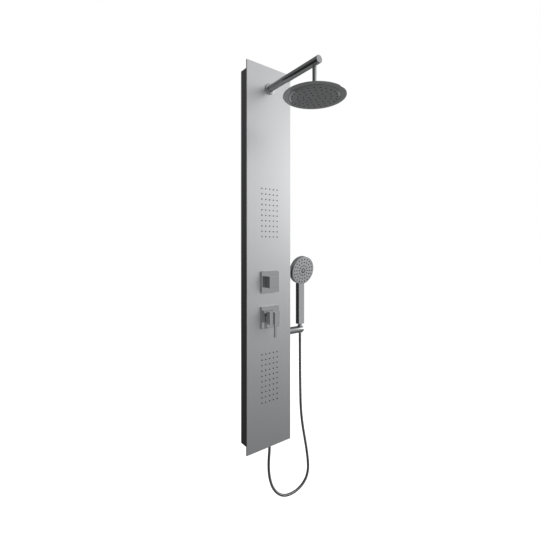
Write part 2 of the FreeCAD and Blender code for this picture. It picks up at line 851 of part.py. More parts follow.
def head_nozzle_mat():
    drop = d.nozzle_plate_thickness + d.nozzle_proud
    mat = nozzle_mat(plate_seat - 1.2, d.nozzle_mat, d.nozzle_tip_dia / 2, drop, head_nozzle_spots())
    place(mat, 0.0, -drop_depth, head_plane + plate_inside)
    return node("head_nozzle_mat", mat)


# ---- body jets ----

mat_back = sheet_back - d.nozzle_mat
manifold_back = mat_back - d.manifold_depth


def jet_mat(name, height):
    """Soft mat against the back of the sheet, one bored tip through each jet hole."""
    body = new_body()
    margin = 2 * (d.manifold_margin - d.manifold_wall)
    size = (jet_field_width + margin, jet_field_height + margin)
    pad(body, rectangle(sketch_on(body, "XY_Plane"), *size), d.nozzle_mat)
    corner = (-jet_field_width / 2, -jet_field_height / 2)
    tip = circles(sketch_on(body, "XY_Plane", d.nozzle_mat), d.jet_tip_dia / 2, [corner])
    jet_grid(body, tip, pad(body, tip, d.panel_sheet + d.jet_proud))
    bore = circles(sketch_on(body, "XY_Plane"), d.nozzle_bore / 2, [corner])
    through = pocket(body, bore, d.nozzle_mat + d.panel_sheet + 2 * d.jet_proud, forward=True)
    jet_grid(body, bore, through)
    place(body, 0.0, -mat_back, height, FRONT)
    return node(name, body)


def jet_manifold(name, height):
    """Moulded water box behind a mat: open front, ears on the studs, port boss behind."""
    body = new_body()
    pad(body, rectangle(sketch_on(body, "XY_Plane"), manifold_width, manifold_height),
        d.manifold_depth)
    rounded(body, d.manifold_wall, lambda p: near(p.z, 0))
    wall = 2 * d.manifold_wall
    hollow = rectangle(sketch_on(body, "XY_Plane", d.manifold_wall),
                       manifold_width - wall, manifold_height - wall)
    pocket(body, hollow, d.manifold_depth, forward=True)
    place(body, 0.0, -manifold_back, height, FRONT)
    ears = []
    holes = []
    for x, z in manifold_stud_spots(height):
        ears.append(rod("Y", d.manifold_ear, (-mat_back, d.manifold_wall - mat_back), (x, z)))
        holes.append(rod("Y", d.stud_dia / 2 + d.stud_clearance,
                         (-mat_back - 1, 2 * d.manifold_wall - mat_back), (x, z)))
    port = d.line_dia / 2 + d.line_sleeve_wall
    boss_right = manifold_width / 2
    boss = block((boss_right - 4 * d.manifold_wall, boss_right - d.manifold_wall),
                 (-manifold_back - 1, port - d.line_depth), (height - port, height + port))
    spigot = rod("X", d.line_bore / 2 + 1, (boss_right - 2 * d.manifold_wall, d.line_side - port - 1),
                 (-d.line_depth, height))
    inner = block((-boss_right + d.manifold_wall, boss_right - d.manifold_wall),
                  (-mat_back - 1, -manifold_back - d.manifold_wall),
                  (height - manifold_height / 2 + d.manifold_wall,
                   height + manifold_height / 2 - d.manifold_wall))
    duct = rod("X", d.line_bore / 2 - 1, (boss_right - 3.2 * d.manifold_wall, d.line_side),
               (-d.line_depth, height))
    feed = rod("Y", d.line_bore / 2 - 1.5, (-manifold_back - 2 * d.manifold_wall, -d.line_depth),
               (boss_right - 2.2 * d.manifold_wall, height))
    shell = cut(fused(body, boss, spigot, *ears), inner, duct, feed, *holes)
    return node(name, shell)


# ---- water lines inside the housing ----

port_radius = d.line_dia / 2 + d.line_sleeve_wall
tee_stub = 26.0


def jet_elbow(height):
    """Elbow between a jet box's spigot and its riser, which comes from the diverter's side."""
    towards = -1 if float(height) > float(d.diverter_height) else 1
    centre = (d.line_side, -d.line_depth)
    start = manifold_width / 2 + d.manifold_wall / 2
    stub = sized(towards * 1.0) * (2.4 * port_radius)
    low, high = (height + stub, height) if towards < 0 else (height, height + stub)
    outer = fused(rod("X", port_radius, (start, d.line_side), (-d.line_depth, height)),
                  ball(port_radius, d.line_side, -d.line_depth, height),
                  rod("Z", port_radius, (low, high), centre))
    inner_start = height + stub * 0.5
    hose_low, hose_high = ((height + 2 * stub, inner_start) if towards < 0
                           else (inner_start, height + 2 * stub))
    return cut(outer,
               rod("X", d.line_bore / 2 + 1 + d.running_fit, (start - 1, d.line_side - port_radius),
                   (-d.line_depth, height)),
               rod("X", d.line_bore / 2 - 1, (start, d.line_side), (-d.line_depth, height)),
               ball(d.line_bore / 2 - 1, d.line_side, -d.line_depth, height),
               rod("Z", d.line_bore / 2 - 1, (low, high), centre),
               rod("Z", d.line_dia / 2 + d.running_fit, (hose_low, hose_high), centre))


def rounded_wire(points, radii=None):
    """Straight runs joined by tangent arcs as large as the runs beside each corner allow."""
    spots = [Vector(*[float(c) for c in point]) for point in points]
    edges = []
    here = spots[0]
    smallest = None
    for before, corner, after in zip(spots, spots[1:], spots[2:]):
        arrive = (corner - before).normalize()
        leave = (after - corner).normalize()
        half_turn = arrive.getAngle(leave) / 2
        reach = 0.45 * min((corner - before).Length, (after - corner).Length)
        radius = reach / math.tan(half_turn)
        smallest = radius if smallest is None else min(smallest, radius)
        start = corner - arrive * reach
        end = corner + leave * reach
        inward = (leave - arrive).normalize()
        centre = corner + inward * (radius / math.cos(half_turn))
        middle = centre - inward * radius
        edges.append(Part.LineSegment(here, start).toShape())
        edges.append(Part.Arc(start, middle, end).toShape())
        here = end
        if radii is not None:
            radii.append(radius)
    edges.append(Part.LineSegment(here, spots[-1]).toShape())
    return Part.Wire(edges), smallest


def tube_along(wire, outer, bore):
    """Tube of round section along a wire."""
    start = wire.Edges[0].valueAt(wire.Edges[0].FirstParameter)
    heading = wire.Edges[0].tangentAt(wire.Edges[0].FirstParameter)
    shells = []
    for radius in (outer, bore):
        ring = Part.Wire(Part.Circle(start, heading, radius).toShape())
        shells.append(wire.makePipeShell([ring], True, True))
    return shells[0].cut(shells[1])


def water_line(name, points):
    """Braided hose held at both ends, along straight runs and tangent arcs."""
    wire, smallest = rounded_wire(points)
    shape = tube_along(wire, float(d.line_dia / 2), float(d.line_bore / 2))
    line = doc.addObject("Part::Feature", "WaterLine")
    line.Shape = shape
    section = math.pi * (float(d.line_dia / 2) ** 2 - float(d.line_bore / 2) ** 2)
    note = "straight" if smallest is None else "smallest radius %.0f mm" % smallest
    print("%s: length %.0f mm, %s, volume ratio %.4f"
          % (name, wire.Length, note, shape.Volume / (section * wire.Length)))
    return node(name, line)


def water_lines():
    side, depth = d.line_side, -d.line_depth
    up = d.diverter_height + tee_stub - 8.0
    down = d.diverter_height - tee_stub + 8.0
    elbow_stub = 1.2 * port_radius
    water_line("upper_jets_line",
               [(side, depth, up), (side, depth, d.upper_jets_height - elbow_stub)])
    water_line("lower_jets_line",
               [(side, depth, down), (side, depth, d.lower_jets_height + elbow_stub)])
    elbow_mouth = arm_height - 1.2 * (thread_radius + 2.5)
    water_line("overhead_line", [
        (-side, depth, up), (-side, depth, elbow_mouth - 190.0),
        (-0.55 * side, depth, elbow_mouth - 110.0), (0.0, depth, elbow_mouth - 60.0),
        (0.0, depth, elbow_mouth)])
    outlet_top = -housing_height / 2 + d.housing_sheet + 12.0
    out_depth = -d.handset_depth
    water_line("hand_shower_line", [
        (-side, depth, down), (-side, depth, outlet_top + 230.0),
        (20.0 - side, out_depth - 3.0, outlet_top + 150.0),
        (d.outlet_offset - 20.0, out_depth, outlet_top + 90.0),
        (d.outlet_offset, out_depth, outlet_top + 45.0), (d.outlet_offset, out_depth, outlet_top)])
    link_low = d.mixer_height + d.mixer_body_dia / 2 + 4.0
    link_high = d.diverter_height - d.diverter_body_dia / 2 - 4.0
    water_line("mixer_link_line", [(0.0, depth, link_low), (0.0, depth, link_high)])


# ---- diverter ----

plate_front = d.column_depth + d.plate_thickness


def cover_plate(name, height, corner, hole_radius):
    """Square cover plate, hollow behind, with a hole for its valve."""
    body = new_body()
    half = float(d.plate_size / 2)
    pad(body, rectangle(sketch_on(body, "XY_Plane"), d.plate_size, d.plate_size), d.plate_thickness)
    rounded(body, corner, lambda p: near(abs(p.x), half) and near(abs(p.y), half))
    front = float(d.plate_thickness)
    rounded(body, d.plate_edge, lambda p: near(p.z, front))
    room = d.plate_size - 2 * d.plate_border - 2
    pocket(body, rectangle(sketch_on(body, "XY_Plane"), room, room),
           d.plate_thickness - d.plate_skin, forward=True)
    pocket(body, circles(sketch_on(body, "XY_Plane"), hole_radius, [(0.0, 0.0)]),
           d.plate_thickness, forward=True)
    place(body, 0.0, -d.column_depth, height, FRONT)
    return node(name, body)


def diverter_valve_body():
    """Brass body behind the sheet: bored barrel, cross arm and four outlet stubs."""
    level = d.diverter_height
    depth = -d.line_depth
    barrel = d.diverter_body_dia / 2
    cartridge = d.diverter_cartridge_dia / 2 + d.running_fit
    neck_front = -d.column_depth - 4.0
    back = -d.line_depth + 16.0
    solids = [
        rod("Y", barrel, (-sheet_back, back), (0.0, level)),
        rod("Y", d.diverter_neck_dia / 2, (neck_front, -sheet_back), (0.0, level)),
        rod("X", port_radius + 1, (-d.line_side, d.line_side), (depth, level)),
        rod("Z", port_radius + 1, (level - barrel - 6.0, level), (0.0, depth)),
    ]
    bores = [
        rod("Y", cartridge, (neck_front - 1, back - 9.0), (0.0, level)),
        rod("X", d.line_bore / 2, (-d.line_side, d.line_side), (depth, level)),
        rod("Z", d.line_bore / 2, (level - barrel - 7.0, level), (0.0, depth)),
        rod("Z", d.line_dia / 2 + d.running_fit,
            (level - barrel - 7.0, level - barrel - 4.0 + d.easy_fit), (0.0, depth)),
    ]
    for side in (-1, 1):
        spot = (side * d.line_side, depth)
        solids.append(rod("Z", port_radius, (level - tee_stub, level + tee_stub), spot))
        solids.append(ball(port_radius + 1, spot[0], depth, level))
        bores.append(rod("Z", d.line_bore / 2, (level - tee_stub, level + tee_stub), spot))
        for low, high in ((-tee_stub - 1, 8.0 - tee_stub), (tee_stub - 8.0, tee_stub + 1)):
            bores.append(rod("Z", d.line_dia / 2 + d.running_fit, (level + low, level + high), spot))
    return node("diverter_valve_body", cut(fused(*solids), *bores))


def diverter_lock_nut():
    """Nut in front of the sheet, hidden under the cover plate."""
    level = d.diverter_height
    thick = 3.6
    nut = hexagon("Y", d.diverter_nut_flats, (-d.column_depth - thick, -d.column_depth), (0.0, level))
    hole = rod("Y", d.diverter_neck_dia / 2 + d.running_fit,
               (-d.column_depth - thick - 1, 1 - d.column_depth), (0.0, level))
    return node("diverter_lock_nut", cut(nut, hole))


cartridge_back = d.line_depth - 7.0
knob_back = plate_front + d.knob_gap
knob_front = knob_back + d.knob_depth
spindle_front = knob_front - 5.0
disc_room = 5.0


def diverter_cartridge():
    """Ceramic disc cartridge: room for the turning disc at its back, bored for the spindle."""
    outer = d.diverter_cartridge_dia / 2
    bore = d.spindle_dia / 2 + d.running_fit
    length = plate_front - 1.0 - cartridge_back
    nose = outer - 1.5
    room = outer - 1.2
    profile = [(bore, disc_room + 1.0), (room, disc_room + 1.0), (room, 1.0), (bore, 1.0),
               (bore, 0.0), (outer, 0.0), (outer, length - 2.0), (nose, length - 2.0),
               (nose, length + 4.0), (bore, length + 4.0)]
    return node("diverter_cartridge",
                turned(profile, 0.0, -cartridge_back, d.diverter_height, FRONT))


def diverter_spindle():
    """Turning disc and shaft in one piece; the shaft carries the knob."""
    radius = d.spindle_dia / 2
    disc = d.diverter_cartridge_dia / 2 - 1.2 - d.running_fit
    start = cartridge_back + 1.0 + d.running_fit
    thick = disc_room - 2 * d.running_fit
    length = spindle_front - start
    profile = [(0.0, 0.0), (disc, 0.0), (disc, thick), (radius, thick), (radius, length - 0.6),
               (radius - 0.6, length), (0.0, length)]
    return node("diverter_spindle", turned(profile, 0.0, -start, d.diverter_height, FRONT))


def diverter_knob():
    """Square knob, hollow behind round the cartridge's nose, with a blind spindle bore."""
    body = new_body()
    pad(body, rectangle(sketch_on(body, "XY_Plane"), d.knob_size, d.knob_size), d.knob_depth)
    rounded(body, d.knob_edge, lambda p: True)
    recess = circles(sketch_on(body, "XY_Plane"), d.knob_recess_dia / 2, [(0.0, 0.0)])
    pocket(body, recess, d.knob_recess_depth, forward=True)
    bore = circles(sketch_on(body, "XY_Plane"), d.spindle_dia / 2 + d.running_fit, [(0.0, 0.0)])
    pocket(body, bore, d.knob_depth - 5.0 + d.running_fit, forward=True)
    place(body, 0.0, -knob_back, d.diverter_height, FRONT)
    level = -knob_front + 8.0
    screw_hole = rod("Z", d.stud_dia / 2 + d.running_fit,
                     (d.diverter_height - d.knob_size, d.diverter_height), (0.0, level))
    return node("diverter_knob", cut(body, screw_hole))


def knob_grub_screw():
    """Headless screw from the knob's underside against the spindle."""
    top = d.diverter_height - d.spindle_dia / 2 - d.running_fit
    bottom = d.diverter_height - d.knob_size / 2 + 1.5
    level = -knob_front + 8.0
    screw = rod("Z", d.stud_dia / 2, (bottom, top), (0.0, level))
    socket = hexagon("Z", d.stud_dia / 2, (bottom - 1, bottom + 2.5), (0.0, level))
    return node("knob_grub_screw", cut(screw, socket))


# ---- mixer ----

handle_back = plate_front + d.handle_gap
handle_front = handle_back + d.handle_depth
pivot_depth = d.stem_pivot_depth
cavity_radius = d.mixer_cavity_dia / 2
cartridge_front = d.column_depth + 3.0
mixer_back = 18.0
moving_disc_back = mixer_back + 22.0
carrier_back = 50.0
carrier_front = cartridge_front - 2.2


def mixer_valve_body():
    """Brass body: bored barrel, outlet on top, two arms that turn to the wall unions."""
    level = d.mixer_height
    barrel = d.mixer_body_dia / 2
    depth = -d.line_depth
    arm_depth = -(mixer_back + 12.0)
    neck_front = -cartridge_front
    half = d.inlet_spacing / 2
    union_end = -(d.inlet_nut_length - 4.5)
    solids = [
        rod("Y", barrel, (-sheet_back, -mixer_back), (0.0, level)),
        rod("Y", d.mixer_neck_dia / 2, (neck_front, -sheet_back), (0.0, level)),
        rod("X", port_radius + 1, (-half, half), (arm_depth, level)),
        rod("Z", port_radius + 1, (level, level + barrel + 6.0), (0.0, depth)),
    ]
    bores = [
        rod("Y", d.mixer_cartridge_dia / 2 + d.running_fit,
            (neck_front - 1, -(mixer_back + 10.0)), (0.0, level)),
        rod("X", d.line_bore / 2, (-half, half), (arm_depth, level)),
        rod("Z", d.line_bore / 2, (level, level + barrel + 7.0), (0.0, depth)),
        rod("Z", d.line_dia / 2 + d.running_fit,
            (level + barrel + 4.0 - d.easy_fit, level + barrel + 7.0), (0.0, depth)),
    ]
    for side in (-1, 1):
        spot = (side * half, level)
        flange = d.inlet_thread_bore / 2 - 3 * d.running_fit
        solids.append(ball(port_radius + 1, spot[0], arm_depth, level))
        solids.append(rod("Y", port_radius, (arm_depth, union_end), spot))
        solids.append(rod("Y", flange, (union_end - d.inlet_flange, union_end), spot))
        bores.append(rod("Y", d.line_bore / 2, (arm_depth, union_end + 1), spot))
    return node("mixer_valve_body", cut(fused(*solids), *bores))


def inlet_nut(x):
    """Union nut of one supply: threaded mouth to the wall, shoulder behind the flange."""
    spot = (x, d.mixer_height)
    shoulder = 2 * d.inlet_flange
    mouth = -1.0
    back = -d.inlet_nut_length - 1.0
    flange_front = -(d.inlet_nut_length - 4.5)
    room_back = flange_front - d.inlet_flange - d.running_fit
    nut = hexagon("Y", d.inlet_nut_flats, (back, mouth), spot)
    return cut(nut,
               rod("Y", d.inlet_thread_bore / 2, (flange_front, mouth + 1), spot),
               rod("Y", d.inlet_thread_bore / 2 + 0.4, (room_back, flange_front + 0.5), spot),
               rod("Y", port_radius + d.easy_fit, (back - shoulder, mouth), spot))


def mixer_cartridge():
    """Cartridge barrel: three ports in its ceramic floor, room for disc and carrier."""
    outer = d.mixer_cartridge_dia / 2
    mouth = cavity_radius - 3.0
    base = mixer_back + 10.0
    room = moving_disc_back - base
    length = cartridge_front - base
    profile = [(0.0, 0.0), (outer, 0.0), (outer, length), (mouth, length), (mouth, length - 2.0),
               (cavity_radius, length - 2.0), (cavity_radius, room), (0.0, room)]
    barrel = turned(profile, 0.0, -base, d.mixer_height, FRONT)
    ports = []
    for angle in (90, 210, 330):
        x = 0.36 * cavity_radius * math.cos(math.radians(angle))
        z = d.mixer_height + 0.36 * cavity_radius * math.sin(math.radians(angle))
        ports.append(rod("Y", 0.2 * cavity_radius, (-moving_disc_back - 1, 1 - base), (x, z)))
    return node("mixer_cartridge", cut(barrel, *ports))


def mixer_moving_disc():
    """Sliding ceramic disc on the cartridge's ports, with the stem's socket in its front."""
    front = moving_disc_back + d.disc_thickness
    plain = rod("Y", d.disc_dia / 2, (-front, -moving_disc_back), (0.0, d.mixer_height))
    socket = rod("Y", d.stem_dia / 2 + 0.5, (-front - 1, 1.5 - front), (0.0, d.mixer_height))
    return node("mixer_moving_disc", cut(plain, socket))


def mixer_carrier():
    """Turning carrier of the stem: round, with a slot upright for the lever's swing."""
    outer = cavity_radius - d.running_fit
    neck = cavity_radius - 3.0 - d.running_fit
    length = carrier_front - carrier_back
    profile = [(0.0, 0.0), (outer, 0.0), (outer, length), (neck, length),
               (neck, length + 4.2), (0.0, length + 4.2)]
    blank = turned(profile, 0.0, -carrier_back, d.mixer_height, FRONT)
    half = d.stem_dia / 2 + d.running_fit
    reach = half + 5.5
    slot = block((-half, half), (-carrier_front - 6.0, 1 - carrier_back),
                 (d.mixer_height - reach, d.mixer_height + reach))
    pin_hole = rod("X", d.stem_pin_dia / 2 + d.running_fit, (-outer, outer),
                   (-pivot_depth, d.mixer_height))
    return node("mixer_carrier", cut(blank, slot, pin_hole))


def stem_pivot_pin():
    reach = cavity_radius - 1.5
    return node("stem_pivot_pin", rod("X", d.stem_pin_dia / 2, (-reach, reach),
                                      (-pivot_depth, d.mixer_height)))


def mixer_stem():
    """Lever stem: hung on the pin, its slim tip in the moving disc, its head in the handle."""
    shoulder = moving_disc_back + d.disc_thickness + 3.0
    tip = moving_disc_back + d.disc_thickness - 0.8
    centre = (0.0, d.mixer_height)
    stem = fused(rod("Y", d.stem_dia / 2, (-(handle_front - 5.0), -shoulder), centre),
                 rod("Y", 0.35 * d.stem_dia, (-shoulder - 1, -tip), centre))
    hole = rod("X", d.stem_pin_dia / 2 + d.running_fit, (-d.stem_dia, d.stem_dia),
               (-pivot_depth, d.mixer_height))
    return node("mixer_stem", cut(stem, hole))


def mixer_lock_nut():
    level = d.mixer_height
    nut = hexagon("Y", d.mixer_nut_flats, (-cartridge_front, -d.column_depth), (0.0, level))
    hole = rod("Y", d.mixer_neck_dia / 2 + d.running_fit,
               (-cartridge_front - 1, 1 - d.column_depth), (0.0, level))
    return node("mixer_lock_nut", cut(nut, hole))


def mixer_sleeve():
    """Trim ring in the plate's hole, over the nut and the mouth of the cartridge."""
    outer = d.mixer_neck_dia / 2 - 0.5
    inner = cavity_radius - 3.0 + d.easy_fit
    length = plate_front + 1.0 - cartridge_front
    profile = [(inner, 0.0), (outer, 0.0), (outer, length - 1.0), (outer - 1.0, length),
               (inner, length)]
    return node("mixer_sleeve", turned(profile, 0.0, -cartridge_front, d.mixer_height, FRONT))


def mixer_handle():
    """Square handle block; its upper back leans forward by the lever's swing."""
    body = new_body()
    half = d.handle_size / 2
    start = -0.08 * half
    lean = (half - start) * d.handle_tilt.tan()
    profile = [(0.0, d.handle_under - half), (0.0, start), (-lean, half), (-d.handle_depth, half),
               (-d.handle_depth, -half)]
    pad(body, polygon(sketch_on(body, "YZ_Plane"), profile), d.handle_size, midplane=True)
    rounded(body, d.handle_edge, lambda p: True)
    place(body, 0.0, -handle_back, d.mixer_height)
    level = d.mixer_height
    room = 0.7 * half
    skin = handle_front - 9.0
    hollow = block((-room, room), (-skin, 1 - handle_back),
                   (level - 0.65 * half, level + 0.65 * half))
    boss = rod("Y", d.stem_dia / 2 + 3.0, (-handle_front + 2.0, -handle_back - 8.0), (0.0, level))
    bore = rod("Y", d.stem_dia / 2 + d.running_fit, (-(handle_front - 5.0) - d.running_fit, 0.0),
               (0.0, level))
    screw_hole = rod("Z", d.stud_dia / 2 + d.running_fit, (level - d.handle_size, level),
                     (0.0, -handle_front + 10.0))
    return node("mixer_handle", cut(fused(cut(body, hollow), boss), bore, screw_hole))


def handle_grub_screw():
    level = d.mixer_height
    top = level - d.stem_dia / 2 - d.running_fit
    bottom = level - d.handle_size / 2 + 2.0
    depth = -handle_front + 10.0
    screw = rod("Z", d.stud_dia / 2, (bottom, top), (0.0, depth))
    socket = hexagon("Z", d.stud_dia / 2, (bottom - 1, bottom + 2.5), (0.0, depth))
    return node("handle_grub_screw", cut(screw, socket))


def mixer_lever():
    """Flat bar on the front of the handle block, reaching below it."""
    body = new_body()
    half = d.lever_width / 2
    outline = [(-half, -d.lever_below), (half, -d.lever_below), (half, d.lever_above),
               (-half, d.lever_above)]
    pad(body, polygon(sketch_on(body, "XY_Plane"), outline), d.lever_thickness)
    rounded(body, d.lever_edge, lambda p: not near(p.z, 0))
    place(body, 0.0, -handle_front, d.mixer_height, FRONT)
    return node("mixer_lever", body)


# ---- hand shower ----

handset_x = d.handset_offset
handset_y = -d.handset_depth
handset_radius = d.handset_dia / 2
face_plate_radius = d.handset_plate_dia / 2
cone_top = d.post_height + d.post_dia / 2
cone_bottom = d.post_height - d.post_dia / 2 + 1.0
nut_top = cone_top + d.cone_shoulder


def in_head(thing, behind, outwards=True):
    """Puts the thing on the head's tilted axis, its own Z out of the face or into it."""
    tilt = d.handset_tilt
    angle = tilt + 90.0 if outwards else tilt - 90.0
    depth = d.handset_face_depth - behind * tilt.cos()
    turn = Rotation(Vector(1, 0, 0), float(angle))
    place(thing, handset_x, -depth, d.handset_height + behind * tilt.sin(), turn)
    thing.setExpression("Placement.Rotation.Angle", angle.text)
    return thing


def handset_body():
    """Tilted round head and rectangular grip in one hollow moulding, neck below the grip."""
    thick = d.handset_thickness
    chamber = face_plate_radius - 3.0
    rim_back = thick - d.handset_rim
    mat_back_side = thick - d.handset_plate - d.handset_mat
    profile = [
        (0.0, 0.0), (0.6 * handset_radius, 0.0), (0.86 * handset_radius, 0.35 * rim_back),
        (handset_radius - 1.2, rim_back - 2.0), (handset_radius, rim_back),
        (handset_radius, thick - 1.5), (handset_radius - 1.5, thick),
        (face_plate_radius + d.easy_fit, thick), (face_plate_radius + d.easy_fit, mat_back_side),
        (chamber, mat_back_side), (chamber - 8.0, 0.45 * thick), (0.0, 0.45 * thick),
    ]
    head = in_head(turned(profile), thick)
    grip_body = new_body()
    grip_length = d.handset_height - d.handle_bottom - 0.915 * handset_radius
    half_width, half_depth = d.grip_width / 2, d.grip_depth / 2
    pad(grip_body, polygon(sketch_on(grip_body, "XY_Plane"), [
        (-half_width, -half_depth), (half_width, -half_depth), (half_width, half_depth),
        (-half_width, half_depth)]), grip_length)
    wide, deep = float(half_width), float(half_depth)
    rounded(grip_body, d.grip_edge, lambda p: near(abs(p.x), wide) and near(abs(p.y), deep))
    rounded(grip_body, 0.8, lambda p: near(p.z, 0))
    grip = place(grip_body, handset_x, handset_y, d.handle_bottom)
    neck = rod("Z", d.handset_neck_dia / 2, (nut_top - 8.0, d.handle_bottom + 1.0),
               (handset_x, handset_y))
    bore_top = d.handset_height - 0.5 * handset_radius
    bore = rod("Z", d.handset_bore / 2, (d.handle_bottom + 6.0, bore_top), (handset_x, handset_y))
    neck_bore = rod("Z", d.handset_neck_dia / 4, (nut_top - 9.0, d.handle_bottom + 7.0),
                    (handset_x, handset_y))
    return node("handset_body", cut(fused(head, grip, neck), bore, neck_bore))


def handset_nozzle_spots():
    spots = []
    for count, share in HANDSET_RINGS:
        for i in range(count):
            angle = 2 * math.pi * i / count
            radius = share * face_plate_radius
            spots.append((radius * math.cos(angle), radius * math.sin(angle)))
    return spots


def handset_face_plate():
    body = new_body()
    plate = circles(sketch_on(body, "XY_Plane"), face_plate_radius, [(0.0, 0.0)])
    circles(plate, d.handset_cap_dia / 2 + d.running_fit, [(0.0, 0.0)])
    pad(body, plate, d.handset_plate)
    holes = circles(sketch_on(body, "XY_Plane"), d.nozzle_tip_dia / 2 + d.running_fit,
                    handset_nozzle_spots())
    pocket(body, holes, d.handset_plate, forward=True)
    return node("handset_face_plate", in_head(body, d.handset_plate))


def handset_nozzle_mat():
    """Soft mat behind the face plate, its tips through the plate's holes."""
    drop = d.handset_plate + d.nozzle_proud
    mat = nozzle_mat(face_plate_radius - 0.5, d.handset_mat, d.nozzle_tip_dia / 2, drop,
                     handset_nozzle_spots())
    return node("handset_nozzle_mat", in_head(mat, d.handset_plate, outwards=False))


def handset_centre_cap():
    """Round cap in the middle of the face, with a shallow ring groove."""
    outer = d.handset_cap_dia / 2
    thick = d.handset_plate
    profile = [(0.0, 0.0), (outer, 0.0), (outer, thick + 0.3), (outer - 0.4, thick + 0.6),
               (0.78 * outer, thick + 0.6), (0.74 * outer, thick + 0.1), (0.66 * outer, thick + 0.1),
               (0.62 * outer, thick + 0.6), (0.0, thick + 0.6)]
    return node("handset_centre_cap", in_head(turned(profile), d.handset_plate))


def handset_cone_nut():
    """Conical nut that seats in the holder; the grip's neck and the hose end meet in it."""
    top = d.cone_top_dia / 2
    bottom = d.cone_bottom_dia / 2
    neck = d.handset_neck_dia / 2 + d.running_fit
    room = d.ferrule_dia / 2 + d.running_fit
    low = cone_bottom
    profile = [(neck, nut_top - low), (neck, nut_top - low - 9.0), (room, nut_top - low - 9.0),
               (room, 0.0), (bottom, 0.0), (top, cone_top - low), (neck + 0.9, nut_top - low)]
    return node("handset_cone_nut", turned(profile, handset_x, handset_y, low))


def hose_upper_ferrule():
    """Crimped end of the hose, turning inside the cone nut."""
    outer = d.ferrule_dia / 2
    bore = d.hose_bore / 2 - 1.0
    length = d.ferrule_length
    profile = [(bore, 0.0), (outer - 0.8, 0.0), (outer - 0.8, d.ferrule_below + 1.0),
               (outer, d.ferrule_below + 1.4), (outer, length), (bore, length)]
    low = cone_bottom - d.ferrule_below - 1.0
    return node("hose_upper_ferrule", turned(profile, handset_x, handset_y, low))


# ---- holder, hose and hose fittings ----

def holder_post():
    """Round post from the housing's side; its end is rounded in plan and bored conical."""
    side = housing_width / 2
    radius = d.post_dia / 2
    level = d.post_height
    straight = rod("X", radius, (side, handset_x + 2 * radius), (handset_y, level))
    outline = fused(
        block((side, handset_x), (handset_y - 2 * radius, handset_y + 2 * radius),
              (level - 2 * radius, level + 2 * radius)),
        rod("Z", radius, (level - 2 * radius, level + 2 * radius), (handset_x, handset_y)))
    drop = cone_top - cone_bottom
    taper = (d.cone_top_dia - d.cone_bottom_dia) / 2 / drop
    low, high = cone_bottom - 3.0, cone_top + 2.0
    seat = rod("Z", d.cone_bottom_dia / 2 + d.easy_fit - 3.0 * taper, (low, high),
               (handset_x, handset_y), far_radius=d.cone_top_dia / 2 + d.easy_fit + 2.0 * taper)
    bolt_hole = rod("X", d.post_bolt_dia / 2 + d.running_fit, (side - 1, side + d.post_bolt_depth + 1),
                    (handset_y, level))
    return node("holder_post", cut(common(straight, outline), seat, bolt_hole))


def holder_bolt():
    """Hexagon bolt from inside the housing into the post."""
    inside = housing_width / 2 - d.housing_sheet
    head = doc.addObject("Part::Prism", "BoltHead")
    head.Polygon = 6
    bind(head, "Circumradius", 0.93 * d.post_bolt_dia)
    bind(head, "Height", 0.65 * d.post_bolt_dia)
    place(head, inside - 0.65 * d.post_bolt_dia, handset_y, d.post_height, TOWARDS_X)
    shank = rod("X", d.post_bolt_dia / 2, (inside, housing_width / 2 + d.post_bolt_depth),
                (handset_y, d.post_height))
    return node("holder_bolt", fused(head, shank))


def hose_outlet():
    """Threaded outlet through the housing's floor, flange inside."""
    floor = -housing_height / 2
    flange = d.outlet_flange_dia / 2
    bore = d.line_bore / 2
    top = d.housing_sheet + 3.0
    profile = [
        (bore, -d.outlet_thread), (thread_radius, -d.outlet_thread), (thread_radius, d.housing_sheet),
        (flange, d.housing_sheet), (flange, top), (port_radius, top), (port_radius, 22.0),
        (d.line_dia / 2 + d.running_fit, 22.0), (d.line_dia / 2 + d.running_fit, 12.0),
        (bore, 12.0),
    ]
    return node("hose_outlet", turned(profile, d.outlet_offset, handset_y, floor))


def hose_lower_nut():
    """Long nut that joins the hose to the outlet."""
    floor = -housing_height / 2
    outer = d.hose_nut_dia / 2
    top = d.hose_nut_length - 1.5
    thread = top - d.outlet_thread + 1.5
    profile = [
        (d.hose_bore / 2, 0.0), (0.72 * outer, 0.0), (0.8 * outer, 0.3 * d.hose_nut_length),
        (outer, 0.42 * d.hose_nut_length), (outer, top), (thread_radius + d.running_fit, top),
        (thread_radius + d.running_fit, thread), (d.hose_bore / 2, thread),
    ]
    bottom = floor - d.hose_nut_length
    return node("hose_lower_nut", turned(profile, d.outlet_offset, handset_y, bottom))


def along_wire(wire, distance):
    """Point and direction at a distance from the wire's start."""
    left = distance
    for edge in wire.Edges:
        if left <= edge.Length:
            break
        left -= edge.Length
    parameter = edge.getParameterByLength(min(left, edge.Length))
    return edge.valueAt(parameter), edge.tangentAt(parameter).normalize()


def hose_stations(wire, count):
    """Arc lengths of the rib circles: plain ends, then valley, crest, crest, valley per rib."""
    plain = float(d.hose_dia)
    length = wire.Length
    pitch = (length - 2 * plain) / count
    valley = float(d.hose_dia / 2 - d.hose_rib_depth)
    crest = float(d.hose_dia / 2)
    stations = [(0.0, valley)]
    for rib in range(count):
        start = plain + rib * pitch
        stations += [(start, valley), (start + 0.2 * pitch, crest), (start + 0.8 * pitch, crest)]
        stations.append((start + 0.98 * pitch, valley))
    stations.append((length, valley))
    return stations


